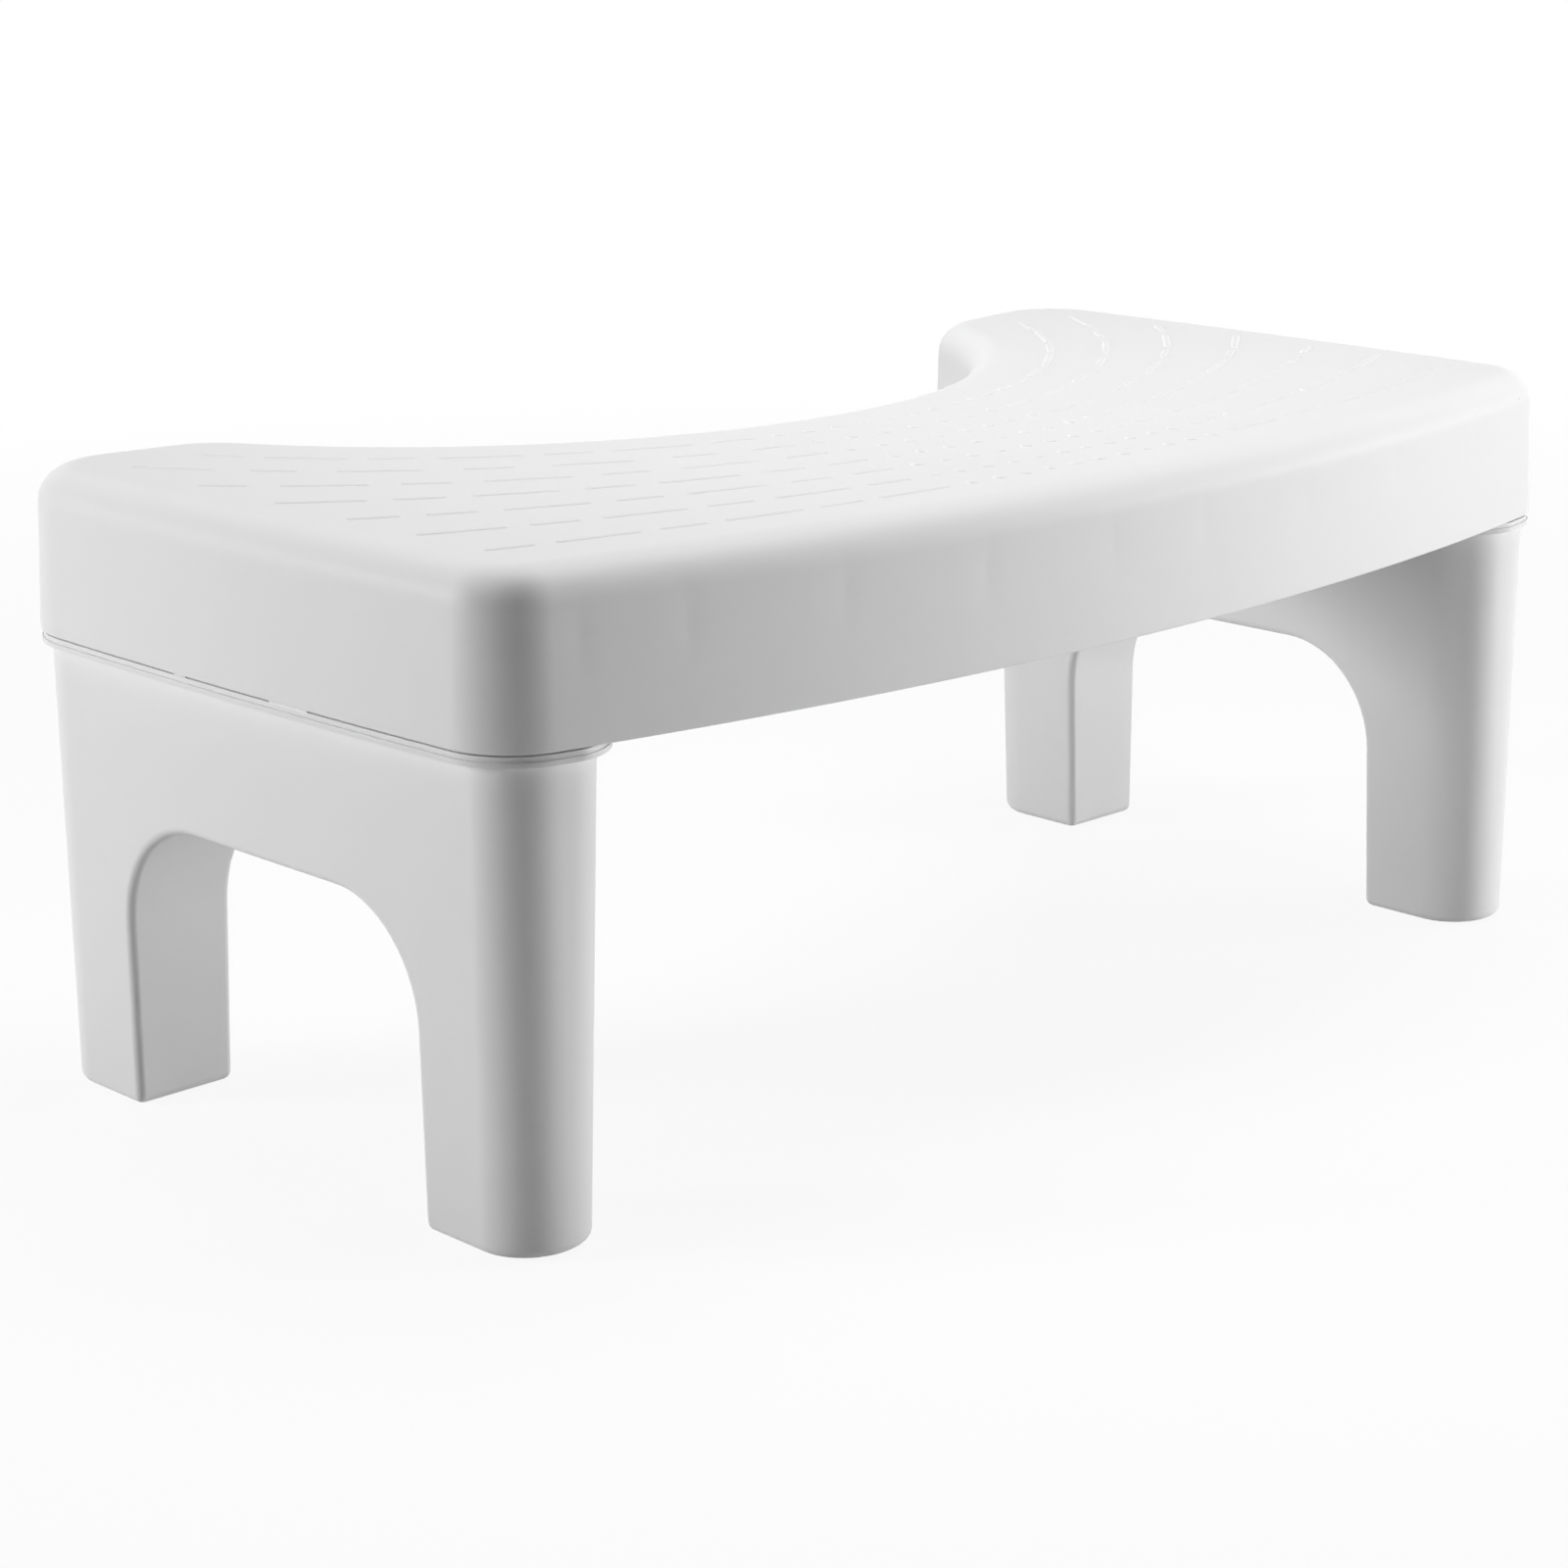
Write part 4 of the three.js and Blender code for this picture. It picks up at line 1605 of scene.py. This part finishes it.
@dataclass
class Studio:
    """A white sweep, its soft lamps and the light of the room."""

    floor_size: float = 8.0
    wall_height: float = 3.0
    fold_radius: float = 1.0
    fold_steps: int = 12
    view_direction: tuple[float, float] = (0.6765, 0.7004)
    floor_colour: tuple[float, float, float, float] = (0.75, 0.75, 0.75, 1.0)
    painted_share: float = 0.90
    shadow_reach: float = 0.40
    shadow_end: float = 1.10
    room_light: float = 0.01
    lamps: tuple[Softbox, ...] = (
        Softbox("left_rear_lamp", (-1.40, 0.94, 0.50), 0.5, 16.2),
        Softbox("top_lamp", (0.05, -0.05, 0.85), 0.5, 3.8),
        Softbox("right_top_lamp", (0.40, 0.0, 0.80), 0.8, 1.0),
        Softbox("right_front_lamp", (1.25, -0.90, 0.20), 0.5, 13.8),
        Softbox("near_front_lamp", (0.12, -0.60, 0.15), 0.3, 0.34),
    )

    def sweep(self) -> bpy.types.Object:
        """The floor and the wall behind the stool in one curved sheet.

        Returns:
            The sheet.
        """
        bpy.ops.mesh.primitive_plane_add(size=self.floor_size)
        piece = bpy.context.active_object
        piece.name = "studio_sweep"
        far = self.floor_size / 2 - TINY
        x, y = self.view_direction
        turn = math.atan2(y, x) - QUARTER_TURN
        with editing(piece, Element.EDGE):
            choose(piece, Element.EDGE, lambda e: all(v.co.y > far for v in e.verts))
            extrude(Vector((0, 0, self.wall_height)))
            choose(piece, Element.EDGE, lambda e: all(v.co.y > far and abs(v.co.z) < TINY for v in e.verts))
            bpy.ops.mesh.bevel(offset=self.fold_radius, segments=self.fold_steps, affect="EDGES")
            choose_all()
            bpy.ops.transform.rotate(value=-turn, orient_axis="Z", center_override=(0, 0, 0))
        take(piece)
        bpy.ops.object.shade_smooth()
        return piece

    def paper(self) -> bpy.types.Material:
        """Makes white paper that the camera and reflections see evenly lit, with the stool's shadow.

        Returns:
            The material.
        """
        shader = Shader(bpy.data.materials.new("studio_paper"))
        place = shader.add("ShaderNodeTexCoord").outputs["Object"]
        length = shader.add("ShaderNodeVectorMath", {"operation": "LENGTH"}, {0: place})
        reach = Value(shader, length.outputs["Value"])
        away = ((reach - self.shadow_reach) * (1 / (self.shadow_end - self.shadow_reach))).clamped()
        share = away * (1 - self.painted_share) + self.painted_share
        matt = shader.add("ShaderNodeBsdfDiffuse", {}, {"Color": self.floor_colour})
        white = shader.add("ShaderNodeBsdfDiffuse", {}, {"Color": WHITE})
        bright = shader.add("ShaderNodeEmission", {}, {"Color": WHITE, "Strength": 1.0})
        picture = shader.add("ShaderNodeMixShader", {}, {0: share, 1: white.outputs[0], 2: bright.outputs[0]})
        ends = {0: shader.white_rays(), 1: matt.outputs[0], 2: picture.outputs[0]}
        return shader.finish(shader.add("ShaderNodeMixShader", {}, ends).outputs[0])

    def room(self) -> bpy.types.World:
        """Makes a world that is white to the camera and in reflections, and dim as a light.

        Returns:
            The world.
        """
        shader = Shader(bpy.data.worlds.new("room"))
        light = shader.add("ShaderNodeBackground", {}, {"Color": WHITE, "Strength": self.room_light})
        white = shader.add("ShaderNodeBackground", {}, {"Color": WHITE, "Strength": 1.0})
        ends = {0: shader.white_rays(), 1: light.outputs[0], 2: white.outputs[0]}
        return shader.finish(shader.add("ShaderNodeMixShader", {}, ends).outputs[0])

    def build(self) -> None:
        """Sets up the sweep, the lamps and the room."""
        sweep = self.sweep()
        sweep.data.materials.append(self.paper())
        for lamp in self.lamps:
            lamp.build()
        bpy.context.scene.world = self.room()
        bpy.context.scene.view_settings.view_transform = "Standard"


def dress(piece: bpy.types.Object, material: bpy.types.Material) -> None:
    """Gives a finished piece one material all over and reports it.

    Args:
        piece: The piece.
        material: Its material.
    """
    piece.data.materials.clear()
    piece.data.materials.append(material)
    LOG.info("%s: %d faces, %s", piece.name, len(piece.data.polygons), material.name)


def main() -> None:
    """Builds the stool, dresses it and sets up the studio."""
    logging.basicConfig(level=logging.INFO)
    Camera().build()
    white = MouldedPlastic().make("white_plastic")
    rubber = SoftRubber().make("foot_rubber")
    plan = Plan(front_y=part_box("top_shell")[0].y)
    top = TopShell(plan)
    frames = {side: LegFrame(plan, top.skirt_z, side) for side in Side}
    socket_x = frames[Side.RIGHT].socket_x - top.rib_thickness / 2
    platform = top.build(socket_x, [leg.socket() for leg in frames.values()])
    platform.name = "platform"
    ribs = tuple(side.value * x for x in top.rib_places() for side in Side)
    dress(platform, MouldedPlastic(sink_places=ribs).make("white_plastic_with_sinks"))
    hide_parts("top_shell")
    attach(platform, "top")
    for side, leg in frames.items():
        label = side.name.lower()
        piece = leg.build(f"{label}_arched_frame")
        dress(piece, white)
        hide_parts(f"{label}_leg_frame")
        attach(piece, f"{label}_frame")
        for rear in (False, True):
            end = "rear" if rear else "front"
            foot = leg.pad(f"{label}_{end}_foot", rear)
            dress(foot, rubber)
            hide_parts(f"{label}_{end}_pad")
            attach(foot, f"{label}_frame")
    Studio().build()


if __name__ == "__main__":
    main()
